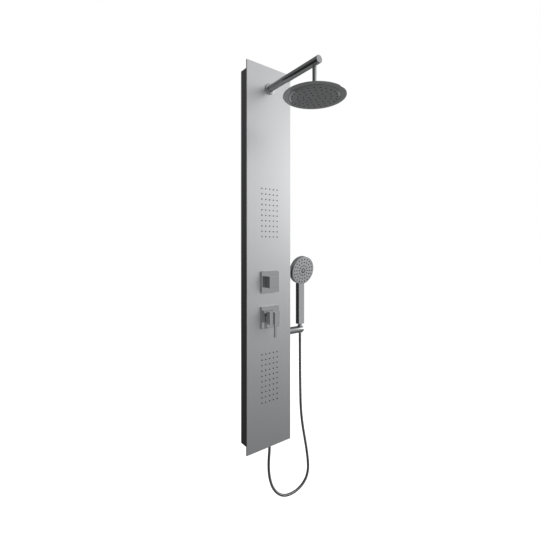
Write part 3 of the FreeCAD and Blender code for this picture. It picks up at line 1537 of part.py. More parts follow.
def shower_hose():
    """Ribbed hose: ruled rings along the route, bored from end to end."""
    plane_y = float(handset_y)
    radii = []
    points = [(x, plane_y, z) for x, z in HOSE_POINTS]
    wire, _ = rounded_wire(points, radii)
    print("hose: length %.0f mm, radii %s" % (wire.Length, " ".join("%.0f" % r for r in radii)))
    rings = []
    for along, radius in hose_stations(wire, HOSE_RIBS):
        centre, heading = along_wire(wire, along)
        ring = Part.Circle(centre, heading, radius)
        ring.XAxis = Vector(0, 1, 0)
        rings.append(Part.Wire(ring.toShape()))
    outside = Part.makeLoft(rings, True, True)
    start, heading = along_wire(wire, 0.0)
    bore = Part.Wire(Part.Circle(start, heading, float(d.hose_bore / 2)).toShape())
    shape = outside.cut(wire.makePipeShell([bore], True, True))
    plain = math.pi * (float(d.hose_dia / 2) ** 2 - float(d.hose_bore / 2) ** 2) * wire.Length
    print("hose: volume over plain tube %.3f" % (shape.Volume / plain))
    hose = doc.addObject("Part::Feature", "Hose")
    hose.Shape = shape
    return node("shower_hose", hose)


# ---- assembly ----

def build():
    front_panel()
    rear_housing()
    stud_nuts()
    hole_height = d.bracket_hole_height / 2
    pair_of("hanging_rails", hanging_rail, hole_height, -hole_height)
    pair_of("wall_brackets", wall_bracket, hole_height, -hole_height)
    arm_flange()
    shower_arm()
    arm_end_cap()
    arm_nipple()
    arm_lock_nut()
    arm_elbow()
    drop_pipe()
    head_ball_stud()
    ball_seat("ball_lower_seat", -0.86 * ball_radius, -0.28 * ball_radius, 0.5 * ball_radius)
    ball_seat("ball_upper_seat", 0.2 * ball_radius, 0.54 * ball_radius, 0.5 * ball_radius)
    head_swivel_nut()
    head_shell()
    head_nozzle_plate()
    head_nozzle_mat()
    for name, height in jet_fields:
        jet_manifold(name + "_jet_manifold", height)
        jet_mat(name + "_jet_mat", height)
    pair_of("jet_elbows", jet_elbow, d.upper_jets_height, d.lower_jets_height)
    water_lines()
    cover_plate("diverter_plate", d.diverter_height, d.diverter_corner,
                d.diverter_cartridge_dia / 2 + 1.0)
    diverter_valve_body()
    diverter_lock_nut()
    diverter_cartridge()
    diverter_spindle()
    diverter_knob()
    knob_grub_screw()
    cover_plate("mixer_plate", d.mixer_height, d.mixer_corner, d.mixer_neck_dia / 2)
    mixer_valve_body()
    pair_of("inlet_nuts", inlet_nut, -d.inlet_spacing / 2, d.inlet_spacing / 2)
    mixer_cartridge()
    mixer_moving_disc()
    mixer_carrier()
    stem_pivot_pin()
    mixer_stem()
    mixer_lock_nut()
    mixer_sleeve()
    mixer_handle()
    handle_grub_screw()
    mixer_lever()
    handset_body()
    handset_face_plate()
    handset_nozzle_mat()
    handset_centre_cap()
    handset_cone_nut()
    hose_upper_ferrule()
    holder_post()
    holder_bolt()
    hose_outlet()
    hose_lower_nut()
    shower_hose()


def check():
    """Stops on any failed object or empty solid before a file is written."""
    faults = []
    for thing in doc.Objects:
        if "Invalid" in thing.State or "Error" in thing.State:
            faults.append("%s (%s) %s" % (thing.Name, thing.Label, thing.State))
    for thing in nodes:
        shape = thing.Shape
        if shape.isNull() or not shape.isValid() or not shape.Solids or shape.Volume <= 0:
            faults.append("%s has no valid solid" % thing.Label)
    if faults:
        raise RuntimeError("; ".join(faults))


build()
doc.recompute()
check()
os.makedirs("parts", exist_ok=True)
for thing in nodes:
    thing.Shape.exportStep(os.path.join("parts", thing.Label + ".step"))
print("%d nodes" % len(nodes))
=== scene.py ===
import math

import bmesh
import bpy
from bpy.props import FloatProperty, FloatVectorProperty, IntProperty, PointerProperty
from mathutils import Matrix, Vector


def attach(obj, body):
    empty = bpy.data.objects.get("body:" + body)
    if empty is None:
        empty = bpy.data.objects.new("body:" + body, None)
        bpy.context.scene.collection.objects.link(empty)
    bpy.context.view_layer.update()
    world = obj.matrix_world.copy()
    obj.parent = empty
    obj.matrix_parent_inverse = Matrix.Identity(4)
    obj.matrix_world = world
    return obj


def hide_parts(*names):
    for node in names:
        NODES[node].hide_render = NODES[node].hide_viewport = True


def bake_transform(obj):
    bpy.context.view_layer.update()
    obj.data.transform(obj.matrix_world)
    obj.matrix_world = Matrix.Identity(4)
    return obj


bl_info = {
    "name": "Shower Panel Column",
    "version": (1, 0, 0),
    "blender": (4, 5, 0),
    "location": "3D View > Sidebar > Shower Column",
    "description": "Dresses the shower panel column's frame with its finishes, hose and fine parts",
    "category": "Object",
}

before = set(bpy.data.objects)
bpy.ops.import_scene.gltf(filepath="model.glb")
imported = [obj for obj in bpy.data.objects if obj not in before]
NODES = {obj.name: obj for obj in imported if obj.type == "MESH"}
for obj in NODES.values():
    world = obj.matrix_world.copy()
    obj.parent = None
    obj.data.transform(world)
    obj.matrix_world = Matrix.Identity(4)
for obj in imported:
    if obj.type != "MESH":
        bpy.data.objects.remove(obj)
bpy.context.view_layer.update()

# Route of the hand shower's hose, (right, up) in metres, in the plane of its two ends.
HOSE_ROUTE = (
    (0.0260, -0.7160), (0.0260, -0.7370), (0.0225, -0.7680), (0.0215, -0.8040),
    (0.0265, -0.8460), (0.0415, -0.8875), (0.0670, -0.9205), (0.1015, -0.9425),
    (0.1430, -0.9480), (0.1835, -0.9400), (0.2140, -0.9175), (0.2270, -0.8835),
    (0.2245, -0.8420), (0.2175, -0.7965), (0.2070, -0.7465), (0.1945, -0.6880),
    (0.1850, -0.6180), (0.1825, -0.5325), (0.1810, -0.4210), (0.1810, -0.3110),
)
HOSE_PLANE = -0.028

# How full the hose's winding stands at each ring of points in one turn, groove first.
HOSE_SWELL = (0.0, 0.7, 0.92, 1.0, 1.0, 1.0, 0.92, 0.7)

# Hand shower's face: its centre, its tilt down, its plate's radius, and its rings of nozzles
# as (count, share of the plate's radius).
HANDSET_FACE = (0.181, -0.048, -0.056)
HANDSET_TILT = math.radians(10.5)
HANDSET_PLATE = 0.052
HANDSET_RINGS = ((12, 0.39), (16, 0.65), (20, 0.89))
HANDSET_NOZZLE = 0.0027

# Cap in the middle of that face: its radius, its depth, and the ring groove's floor and radii.
CAP_RADIUS = 0.0104
CAP_BACK = -0.0019
CAP_GROOVE_FLOOR = 0.00005
CAP_GROOVE = (0.0067, 0.00985)

# Overhead shower: the centre of its face, its radius, its rim's height, its dome's height, its
# boss and the faces round it.
HEAD_FACE = (0.0, -0.299, 0.510)
HEAD_RADIUS = 0.1000
HEAD_RIM = 0.0020
HEAD_DOME = 0.0120
HEAD_BOSS = 0.0140
HEAD_BOSS_TOP = 0.0240
HEAD_SIDES = 128

# Inside it: the ball's cup by its radius, its centre's height and its outline's angles from
# straight down, in degrees, then the water's bore and the hollow's ceiling.
CUP_RADIUS = 0.0129
CUP_CENTRE = 0.0270
CUP_ANGLES = [77.0 - 7.25 * step for step in range(9)]
HEAD_BORE = 0.0042
HEAD_CEILING = 0.0095

# Overhead shower's nozzle plate: the shell's opening and the plate's own radius, its rise over
# the face and its back, the radii of its bevel and of its dark ring of painted shade at the edge,
# and its rings of nozzles.
PLATE_OPENING = 0.0827
PLATE_RADIUS = 0.0824
PLATE_RISE = 0.0040
PLATE_BACK = -0.0012
PLATE_BEVEL = (0.0753, 0.0813)
PLATE_SHADE_RING = (0.0813, 0.0823)
HEAD_RINGS = (6, 12, 18, 24)
HEAD_RING_PITCH = 0.0178
HEAD_NOZZLE = 0.0021

# Soft nozzle: the depth and middle of its base, then the (inset, rise) of each step up to the
# tip and down into its mouth.
NOZZLE_DEPTH = 0.0012
NOZZLE_MIDDLE = -0.0003
NOZZLE_STEPS = ((0.0006, 0.00015), (0.0003, 0.0005), (0.0004, 0.0), (0.0005, 0.0),
                (0.0001, -0.0005))

# Shower arm's flange on the sheet: the centre of its back, its bore, radius and thickness.
FLANGE_SEAT = (0.0, -0.063, 0.620)
FLANGE_BORE = 0.01256
FLANGE_RADIUS = 0.0200
FLANGE_THICKNESS = 0.0050

# Hand shower's holder post: the centre of its root, its radius and length, its end's rounding,
# and its conical seat as (radius, height) below and above.
POST_ROOT = (0.085, -0.028, -0.295)
POST_RADIUS = 0.01375
POST_LENGTH = 0.1099
POST_DOME = 0.0085
SEAT_CENTRE = (0.181, -0.028, 0.0)
SEAT_LOW = (0.0083, -0.3130)
SEAT_HIGH = (0.01075, -0.2780)

# Edges flatter than this are shaded smooth on turned pieces and on nozzles.
TURNED_SMOOTH = math.radians(32)
NOZZLE_SMOOTH = math.radians(50)

# Studio that the surfaces mirror. Each part is a direction and the grey by how far a ray leans
# towards it, from -1 to 1: light by height times light by front, a narrow lamp box, the
# ceiling, the low front and the floor's bounce.
STUDIO_HEIGHT = ((0.0, 0.0, 1.0), (
    (-1.0, 0.04), (-0.6, 0.04), (-0.5, 0.08), (-0.4, 0.24), (-0.3, 0.42), (-0.2, 0.49),
    (-0.1, 0.48), (0.0, 0.52), (0.1, 0.58), (0.2, 0.62), (0.3, 0.69), (0.5, 0.84), (1.0, 0.75)))
STUDIO_FRONT = ((0.64, -0.77, 0.0), (
    (-1.0, 0.035), (-0.5, 0.05), (-0.15, 0.12), (0.0, 0.20), (0.23, 0.24), (0.45, 0.52),
    (0.6, 0.66), (0.85, 0.97), (1.0, 1.0)))
STUDIO_BOX = ((0.8865, -0.4134, 0.2079), ((0.0, 0.0), (0.95, 0.0), (1.0, 1.0)))
STUDIO_BOX_STRENGTH = 5.5
STUDIO_CEILING = ((-0.2, 0.6, 0.775), ((0.0, 0.0), (0.5, 0.0), (0.68, 0.11), (1.0, 0.13)))
STUDIO_LOW = ((-0.3, -0.7, -0.65), ((0.0, 0.0), (0.78, 0.0), (1.0, 0.35)))
STUDIO_BOUNCE = ((0.5, 0.3, -0.81), (
    (-1.0, 0.015), (0.0, 0.015), (0.35, 0.02), (0.5, 0.06), (0.82, 0.17), (1.0, 0.17)))

# Soft lamps for the matt surfaces: name, place, aim and power in watts.
LAMPS = (
    ("Key lamp", (-0.6, -2.6, 3.0), (0.0, 0.0, 0.2), 12.0),
    ("Fill lamp", (-2.6, -0.5, 1.2), (0.0, 0.0, -0.05), 60.0),
    ("Back lamp", (0.9, 2.6, 1.3), (0.0, 0.0, 0.0), 90.0),
)
LAMP_SIZE = 2.0
FLOOR_SIZE = 60.0
FLOOR_GLOW = 0.95
FLOOR_TONE = (0.30, 0.30, 0.30, 1.0)
SENSOR_WIDTH = 36.0
WHITE = (1.0, 1.0, 1.0, 1.0)
# Near black painted into the hose's grooves as shade.
PAINTED_GROOVE_SHADE = (0.01, 0.01, 0.01, 1.0)


# ---- settings ----

class ColumnStageSettings(bpy.types.PropertyGroup):
    eye_right: FloatProperty(
        name="Camera right", description="Camera's place to the right of the column's middle",
        default=-0.7803, unit="LENGTH")
    eye_back: FloatProperty(
        name="Camera back", description="Camera's place along the wall's normal, less than 0 in front",
        default=-1.1043, unit="LENGTH")
    eye_up: FloatProperty(
        name="Camera up", description="Camera's height over the column's mid height",
        default=0.0237, unit="LENGTH")
    eye_turn: FloatProperty(
        name="Camera turn", description="How far the camera turns to the right of the wall's normal",
        default=math.radians(36.91), subtype="ANGLE")
    lens: FloatProperty(
        name="Lens", description="Focal length on a 36 mm wide sensor",
        default=23.51, unit="CAMERA")
    shift_up: FloatProperty(
        name="Lens shift", description="Upward shift of the picture, as a share of its width",
        default=-0.03553)
    floor_drop: FloatProperty(
        name="Floor drop", description="Height of the floor below the column's mid height",
        default=-1.15, unit="LENGTH")


class ColumnFinishSettings(bpy.types.PropertyGroup):
    sheet_colour: FloatVectorProperty(
        name="Front sheet", description="Satin steel of the front sheet",
        default=(0.79, 0.80, 0.81), subtype="COLOR", size=3)
    housing_colour: FloatVectorProperty(
        name="Housing", description="Black powder coat of the housing",
        default=(0.042, 0.042, 0.044), subtype="COLOR", size=3)
    chrome_colour: FloatVectorProperty(
        name="Chrome", description="Polished chrome of arm, plates, knob and lever",
        default=(0.64, 0.65, 0.66), subtype="COLOR", size=3)
    hose_colour: FloatVectorProperty(
        name="Hose steel", description="Wound steel of the hose",
        default=(0.35, 0.35, 0.36), subtype="COLOR", size=3)
    nozzle_colour: FloatVectorProperty(
        name="Nozzle rubber", description="Soft grey nozzle tips",
        default=(0.022, 0.023, 0.025), subtype="COLOR", size=3)


class ColumnHoseSettings(bpy.types.PropertyGroup):
    diameter: FloatProperty(
        name="Hose diameter", description="Outside diameter over the winding",
        default=0.0104, unit="LENGTH")
    pitch: FloatProperty(
        name="Winding pitch", description="Length of one turn of the steel winding",
        default=0.0041, unit="LENGTH")
    groove: FloatProperty(
        name="Groove depth", description="Depth of the groove between two turns",
        default=0.0008, unit="LENGTH")
    sides: IntProperty(
        name="Sides", description="Faces around the hose", default=20, min=8)


def stage_settings():
    return bpy.context.scene.column_stage


def finish_settings():
    return bpy.context.scene.column_finish


def hose_settings():
    return bpy.context.scene.column_hose


# ---- shader building ----

def link(tree, source, target):
    tree.links.new(source, target)


def math_node(tree, operation, first, second, clamp=False):
    """Math node fed by sockets or numbers; gives its output."""
    node = tree.nodes.new("ShaderNodeMath")
    node.operation = operation
    node.use_clamp = clamp
    for socket, value in zip(node.inputs, (first, second)):
        if isinstance(value, bpy.types.NodeSocket):
            link(tree, value, socket)
        else:
            socket.default_value = value
    return node.outputs[0]


def new_group(name, inputs, outputs):
    """Empty shader group with float sockets; gives the tree and its two end nodes."""
    group = bpy.data.node_groups.new(name, "ShaderNodeTree")
    for label, value in inputs:
        socket = group.interface.new_socket(name=label, in_out="INPUT", socket_type="NodeSocketFloat")
        socket.default_value = value
    for label in outputs:
        group.interface.new_socket(name=label, in_out="OUTPUT", socket_type="NodeSocketFloat")
    return group, group.nodes.new("NodeGroupInput"), group.nodes.new("NodeGroupOutput")


def noise(tree, vector, scale, detail=2.0, roughness=0.5):
    node = tree.nodes.new("ShaderNodeTexNoise")
    node.inputs["Detail"].default_value = detail
    node.inputs["Roughness"].default_value = roughness
    link(tree, vector, node.inputs["Vector"])
    if isinstance(scale, bpy.types.NodeSocket):
        link(tree, scale, node.inputs["Scale"])
    else:
        node.inputs["Scale"].default_value = scale
    return node.outputs["Fac"]


def brushed_group():
    """Fine lines along one direction: roughness and height that vary across them."""
    group, inside, out = new_group(
        "Brushed Lines", [("Lines", 900.0), ("Stretch", 0.012), ("Roughness", 0.4), ("Spread", 0.1)],
        ["Roughness", "Height"])
    coords = group.nodes.new("ShaderNodeTexCoord")
    scale = group.nodes.new("ShaderNodeVectorMath")
    scale.operation = "MULTIPLY"
    combine = group.nodes.new("ShaderNodeCombineXYZ")
    link(group, inside.outputs["Stretch"], combine.inputs["Z"])
    combine.inputs["X"].default_value = 1.0
    combine.inputs["Y"].default_value = 1.0
    link(group, coords.outputs["Object"], scale.inputs[0])
    link(group, combine.outputs[0], scale.inputs[1])
    lines = noise(group, scale.outputs[0], inside.outputs["Lines"], 3.0, 0.6)
    centred = math_node(group, "SUBTRACT", lines, 0.5)
    varied = math_node(group, "MULTIPLY", centred, inside.outputs["Spread"])
    link(group, math_node(group, "ADD", inside.outputs["Roughness"], varied), out.inputs["Roughness"])
    link(group, lines, out.inputs["Height"])
    return group


def handling_group():
    """Faint smears of handling and water: a broad and a fine noise on the roughness."""
    group, inside, out = new_group(
        "Handling Smears", [("Size", 30.0), ("Roughness", 0.1), ("Spread", 0.05)], ["Roughness"])
    coords = group.nodes.new("ShaderNodeTexCoord")
    broad = noise(group, coords.outputs["Object"], inside.outputs["Size"], 3.0, 0.55)
    fine_scale = math_node(group, "MULTIPLY", inside.outputs["Size"], 14.0)
    fine = noise(group, coords.outputs["Object"], fine_scale, 2.0, 0.5)
    both = math_node(group, "MULTIPLY", broad, fine)
    centred = math_node(group, "SUBTRACT", both, 0.25)
    varied = math_node(group, "MULTIPLY", centred, inside.outputs["Spread"])
    link(group, math_node(group, "ADD", inside.outputs["Roughness"], varied, clamp=True),
         out.inputs["Roughness"])
    return group


def grain_group():
    """Fine orange-peel grain of powder coat and moulded plastic."""
    group, inside, out = new_group(
        "Coat Grain", [("Grain", 900.0), ("Roughness", 0.5), ("Spread", 0.1)],
        ["Roughness", "Height"])
    coords = group.nodes.new("ShaderNodeTexCoord")
    grain = noise(group, coords.outputs["Object"], inside.outputs["Grain"], 2.0, 0.5)
    broad = noise(group, coords.outputs["Object"], 9.0, 2.0, 0.5)
    centred = math_node(group, "SUBTRACT", broad, 0.5)
    varied = math_node(group, "MULTIPLY", centred, inside.outputs["Spread"])
    link(group, math_node(group, "ADD", inside.outputs["Roughness"], varied), out.inputs["Roughness"])
    link(group, grain, out.inputs["Height"])
    return group


GROUPS = {}


def group_of(name):
    makers = {"brushed": brushed_group, "handling": handling_group, "grain": grain_group}
    if name not in GROUPS:
        GROUPS[name] = makers[name]()
    return GROUPS[name]


def finish(name, colour, metallic, surface, values, bump=0.0, bump_distance=0.0001, groove_shading=None):
    """Principled material whose roughness and bump come from one of the shared groups."""
    material = bpy.data.materials.new(name)
    material.use_nodes = True
    tree = material.node_tree
    shader = tree.nodes["Principled BSDF"]
    shader.inputs["Base Color"].default_value = (*colour, 1.0)
    shader.inputs["Metallic"].default_value = metallic
    effect = tree.nodes.new("ShaderNodeGroup")
    effect.node_tree = group_of(surface)
    for label, value in values.items():
        effect.inputs[label].default_value = value
    link(tree, effect.outputs["Roughness"], shader.inputs["Roughness"])
    if bump:
        relief = tree.nodes.new("ShaderNodeBump")
        relief.inputs["Strength"].default_value = bump
        relief.inputs["Distance"].default_value = bump_distance
        link(tree, effect.outputs["Height"], relief.inputs["Height"])
        link(tree, relief.outputs["Normal"], shader.inputs["Normal"])
    # Painted shade: the base colour darkens towards near black by the attribute that marks the hose's
    # grooves.
    if groove_shading:
        depth = tree.nodes.new("ShaderNodeAttribute")
        depth.attribute_name = groove_shading
        shade = tree.nodes.new("ShaderNodeMix")
        shade.data_type = "RGBA"
        link(tree, depth.outputs["Fac"], shade.inputs["Factor"])
        shade.inputs["A"].default_value = (*colour, 1.0)
        shade.inputs["B"].default_value = PAINTED_GROOVE_SHADE
        link(tree, shade.outputs["Result"], shader.inputs["Base Color"])
    return material


FINISHES = {}


def finish_of(name):
    """The named finish, made on first use."""
    if name in FINISHES:
        return FINISHES[name]
    tones = finish_settings()
    chrome = tuple(tones.chrome_colour)
    polish = {"Size": 40.0, "Roughness": 0.045, "Spread": 0.05}
    recipes = {
        "Satin steel sheet": (tuple(tones.sheet_colour), 1.0, "brushed",
                              {"Lines": 700.0, "Stretch": 0.01, "Roughness": 0.42, "Spread": 0.08},
                              0.04, 0.0001),
        "Black powder coat": (tuple(tones.housing_colour), 0.0, "grain",
                              {"Grain": 1400.0, "Roughness": 0.38, "Spread": 0.12}, 0.1, 0.00005),
        "Polished chrome": (chrome, 1.0, "handling", polish),
        # Painted light: the valves' chrome is the polished chrome brightened 1.1 times.
        "Valve chrome painted brighter": (tuple(1.1 * c for c in chrome), 1.0, "handling", polish),
        # Painted shade: the arm end's and drop pipe's chrome is the polished chrome darkened to 0.86.
        "Arm end chrome painted darker": (tuple(0.86 * c for c in chrome), 1.0, "handling", polish),
        # Painted light: the hand shower's chrome is the polished chrome brightened 1.3 times.
        "Handset chrome painted brighter": (tuple(1.3 * c for c in chrome), 1.0, "handling",
                           {"Size": 50.0, "Roughness": 0.06, "Spread": 0.05}),
        # Painted light: the face's satin chrome is the polished chrome brightened 1.46 times.
        "Face satin chrome painted brighter": (tuple(1.46 * c for c in chrome), 1.0, "handling",
                              {"Size": 60.0, "Roughness": 0.32, "Spread": 0.1}),
        "Nozzle plate steel": (tuple(0.95 * c for c in chrome), 1.0, "handling",
                               {"Size": 45.0, "Roughness": 0.32, "Spread": 0.08}),
        "Nozzle rubber": (tuple(tones.nozzle_colour), 0.0, "grain",
                          {"Grain": 2500.0, "Roughness": 0.55, "Spread": 0.1}, 0.1, 0.00003),
        # Painted shade: the wound steel darkens in its grooves through the attribute that marks them.
        "Wound hose steel": (tuple(tones.hose_colour), 1.0, "handling",
                             {"Size": 70.0, "Roughness": 0.22, "Spread": 0.1}, 0.0, 0.0001, "groove_shading"),
        "Zinc plate": ((0.62, 0.63, 0.62), 1.0, "grain",
                       {"Grain": 400.0, "Roughness": 0.36, "Spread": 0.25}, 0.05, 0.00005),
        "Raw brass": ((0.62, 0.44, 0.19), 1.0, "grain",
                      {"Grain": 600.0, "Roughness": 0.34, "Spread": 0.2}, 0.15, 0.00006),
        "Black moulding": ((0.022, 0.022, 0.024), 0.0, "grain",
                           {"Grain": 1200.0, "Roughness": 0.5, "Spread": 0.15}, 0.1, 0.00005),
        "White seat plastic": ((0.78, 0.78, 0.75), 0.0, "grain",
                               {"Grain": 900.0, "Roughness": 0.42, "Spread": 0.1}, 0.05, 0.00004),
        "Ground ceramic": ((0.84, 0.82, 0.77), 0.0, "grain",
                           {"Grain": 2000.0, "Roughness": 0.3, "Spread": 0.05}, 0.03, 0.00002),
        "Turned steel": ((0.56, 0.56, 0.57), 1.0, "brushed",
                         {"Lines": 1500.0, "Stretch": 1.0, "Roughness": 0.28, "Spread": 0.1},
                         0.05, 0.00004),
        "Water line": ((0.20, 0.21, 0.22), 0.0, "grain",
                       {"Grain": 700.0, "Roughness": 0.45, "Spread": 0.1}, 0.4, 0.0002),
    }
    FINISHES[name] = finish(name, *recipes[name])
    return FINISHES[name]


def dress(finish_name, *names):
    """Gives the CAD nodes their finish."""
    for name in names:
        for slot in NODES[name].material_slots:
            slot.material = finish_of(finish_name)


# ---- stage ----

def studio_ramp(tree, direction, towards, stops):
    """Grey that depends on how far a direction leans towards a given one."""
    lean = tree.nodes.new("ShaderNodeVectorMath")
    lean.operation = "DOT_PRODUCT"
    link(tree, direction, lean.inputs[0])
    lean.inputs[1].default_value = towards
    half = math_node(tree, "MULTIPLY", lean.outputs["Value"], 0.5)
    ramp = tree.nodes.new("ShaderNodeValToRGB")
    link(tree, math_node(tree, "ADD", half, 0.5), ramp.inputs["Fac"])
    ramp_from(ramp, [(0.5 + 0.5 * lean_at, grey) for lean_at, grey in stops])
    return ramp.outputs["Color"]


def world_light():
    """White to the camera; to the object a studio with its light in front and to the right."""
    world = bpy.context.scene.world or bpy.data.worlds.new("Studio")
    bpy.context.scene.world = world
    world.use_nodes = True
    tree = world.node_tree
    tree.nodes.clear()
    out = tree.nodes.new("ShaderNodeOutputWorld")
    direction = tree.nodes.new("ShaderNodeTexCoord").outputs["Generated"]
    height = studio_ramp(tree, direction, *STUDIO_HEIGHT)
    front = studio_ramp(tree, direction, *STUDIO_FRONT)
    box = math_node(tree, "MULTIPLY", studio_ramp(tree, direction, *STUDIO_BOX), STUDIO_BOX_STRENGTH)
    ceiling = studio_ramp(tree, direction, *STUDIO_CEILING)
    low = studio_ramp(tree, direction, *STUDIO_LOW)
    bounce = studio_ramp(tree, direction, *STUDIO_BOUNCE)
    lit = math_node(tree, "ADD", math_node(tree, "MULTIPLY", height, front), box)
    lit = math_node(tree, "ADD", math_node(tree, "ADD", lit, ceiling), low)
    seen = tree.nodes.new("ShaderNodeLightPath")
    studio = tree.nodes.new("ShaderNodeBackground")
    link(tree, math_node(tree, "ADD", lit, bounce), studio.inputs["Strength"])
    white = tree.nodes.new("ShaderNodeBackground")
    white.inputs["Strength"].default_value = 1.0
    white.inputs["Color"].default_value = WHITE
    mix = tree.nodes.new("ShaderNodeMixShader")
    link(tree, seen.outputs["Is Camera Ray"], mix.inputs["Fac"])
    link(tree, studio.outputs[0], mix.inputs[1])
    link(tree, white.outputs[0], mix.inputs[2])
    link(tree, mix.outputs[0], out.inputs["Surface"])


def ramp_from(node, stops):
    """Sets a new colour ramp's stops from (place, grey) pairs."""
    ramp = node.color_ramp
    for element, (place, grey) in zip(ramp.elements, (stops[0], stops[-1])):
        element.position = place
        element.color = (grey, grey, grey, 1.0)
    for place, grey in stops[1:-1]:
        element = ramp.elements.new(place)
        element.color = (grey, grey, grey, 1.0)


def soft_lamp(name, place, aim, power):
    """Square lamp that lights matt surfaces and isn't mirrored."""
    bpy.ops.object.light_add(type="AREA", location=place)
    lamp = bpy.context.object
    lamp.name = name
    lamp.data.shape = "SQUARE"
    lamp.data.size = LAMP_SIZE
    lamp.data.energy = power
    lamp.rotation_euler = (Vector(aim) - Vector(place)).to_track_quat("-Z", "Y").to_euler()
    lamp.visible_glossy = False


def floor_finish():
    """White floor with a faint shadow to the camera, clear to every other ray."""
    material = bpy.data.materials.new("Pale floor")
    material.use_nodes = True
    tree = material.node_tree
    out = tree.nodes["Material Output"]
    tree.nodes.remove(tree.nodes["Principled BSDF"])
    seen = tree.nodes.new("ShaderNodeLightPath")
    glow = tree.nodes.new("ShaderNodeEmission")
    glow.inputs["Strength"].default_value = FLOOR_GLOW
    matt = tree.nodes.new("ShaderNodeBsdfDiffuse")
    matt.inputs["Color"].default_value = FLOOR_TONE
    both = tree.nodes.new("ShaderNodeAddShader")
    link(tree, glow.outputs[0], both.inputs[0])
    link(tree, matt.outputs[0], both.inputs[1])
    clear = tree.nodes.new("ShaderNodeBsdfTransparent")
    mix = tree.nodes.new("ShaderNodeMixShader")
    link(tree, seen.outputs["Is Camera Ray"], mix.inputs["Fac"])
    link(tree, clear.outputs[0], mix.inputs[1])
    link(tree, both.outputs[0], mix.inputs[2])
    link(tree, mix.outputs[0], out.inputs["Surface"])
    return material


class OBJECT_OT_column_stage(bpy.types.Operator):
    """Makes the camera, the soft studio light and the pale floor"""

    bl_idname = "object.column_stage"
    bl_label = "Stage"

    def execute(self, context):
        stage = stage_settings()
        context.scene.view_settings.view_transform = "Standard"
        world_light()
        for name, place, aim, power in LAMPS:
            soft_lamp(name, place, aim, power)
        bpy.ops.object.select_all(action="DESELECT")
        bpy.ops.mesh.primitive_plane_add(size=FLOOR_SIZE, location=(0.0, 0.0, stage.floor_drop))
        floor = context.object
        floor.name = "Floor"
        floor.data.materials.append(floor_finish())
        bpy.ops.object.camera_add(location=(stage.eye_right, stage.eye_back, stage.eye_up),
                                  rotation=(math.pi / 2, 0.0, -stage.eye_turn))
        camera = context.object
        camera.name = "Camera"
        camera.data.lens = stage.lens
        camera.data.sensor_width = SENSOR_WIDTH
        camera.data.shift_y = stage.shift_up
        context.scene.camera = camera
        return {"FINISHED"}


# ---- modelling ----

def face_place(centre, tilt):
    """Matrix that sets a flat pattern, x right and y up, on a face tilted down from the front."""
    return Matrix.Translation(centre) @ Matrix.Rotation(math.pi / 2 + tilt, 4, "X")


def handset_nozzle_spots():
    """Places of the hand shower's nozzles on its face, in rings."""
    spots = []
    for count, share in HANDSET_RINGS:
        for i in range(count):
            angle = 2 * math.pi * i / count
            spots.append((share * HANDSET_PLATE * math.cos(angle),
                          share * HANDSET_PLATE * math.sin(angle)))
    return spots


def head_nozzle_spots():
    """Places of the overhead shower's nozzles on its plate, in rings."""
    spots = []
    for ring, count in enumerate(HEAD_RINGS, 1):
        for i in range(count):
            angle = 2 * math.pi * (i + 0.5 * (ring % 2)) / count
            spots.append((ring * HEAD_RING_PITCH * math.cos(angle),
                          ring * HEAD_RING_PITCH * math.sin(angle)))
    return spots


def eased(profile, steps=6):
    """Outline of (radius, height, rounding) corners with each rounding drawn as an arc."""
    points = []
    for index, (radius, height, rounding) in enumerate(profile):
        corner = Vector((radius, height))
        if not rounding:
            points.append(corner)
            continue
        before = (Vector(profile[index - 1][:2]) - corner).normalized()
        after = (Vector(profile[index + 1][:2]) - corner).normalized()
        half = before.angle(after) / 2
        reach = rounding / math.tan(half)
        middle = corner + (before + after).normalized() * rounding / math.sin(half)
        start = corner + before * reach - middle
        sweep = (corner + after * reach - middle).angle_signed(start)
        for step in range(steps + 1):
            points.append(middle + Matrix.Rotation(sweep * step / steps, 2) @ start)
    return points


def turned(name, finish_name, profile, place, sides=96):
    """Round piece spun from its outline, then set in its place."""
    bpy.ops.object.select_all(action="DESELECT")
    bpy.ops.mesh.primitive_plane_add(size=0.01, location=(0.0, 0.0, 0.0))
    piece = bpy.context.object
    piece.name = name
    points = eased(profile)
    bpy.ops.object.mode_set(mode="EDIT")
    bpy.ops.mesh.select_mode(type="VERT")
    bpy.ops.mesh.select_all(action="SELECT")
    bpy.ops.mesh.merge(type="CENTER")
    bpy.ops.transform.translate(value=(points[0].x, 0.0, points[0].y))
    for here, there in zip(points, points[1:]):
        bpy.ops.mesh.extrude_vertices_move(
            TRANSFORM_OT_translate={"value": (there.x - here.x, 0.0, there.y - here.y)})
    bpy.ops.mesh.select_all(action="SELECT")
    bpy.ops.mesh.spin(steps=sides, angle=2 * math.pi, center=(0.0, 0.0, 0.0), axis=(0.0, 0.0, 1.0))
    bpy.ops.mesh.select_all(action="SELECT")
    bpy.ops.mesh.remove_doubles(threshold=1e-6)
    bpy.ops.mesh.normals_make_consistent(inside=False)
    bpy.ops.object.mode_set(mode="OBJECT")
    bpy.ops.object.shade_smooth_by_angle(angle=TURNED_SMOOTH)
    piece.data.transform(place)
    piece.data.materials.append(finish_of(finish_name))
    return piece


def ring_finish(piece, place, radii, finish_name):
    """Gives the front faces between two radii of a turned piece another finish."""
    front_depth = -0.001
    piece.data.materials.append(finish_of(finish_name))
    for polygon in piece.data.polygons:
        flat = place.inverted() @ polygon.center
        if radii[0] < math.hypot(flat.x, flat.y) < radii[1] and flat.z > front_depth:
            polygon.material_index = len(piece.data.materials) - 1


def stands_for(piece, node, body):
    """Hides the CAD node that the piece stands for; the piece rides on its body."""
    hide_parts(node)
    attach(piece, body)


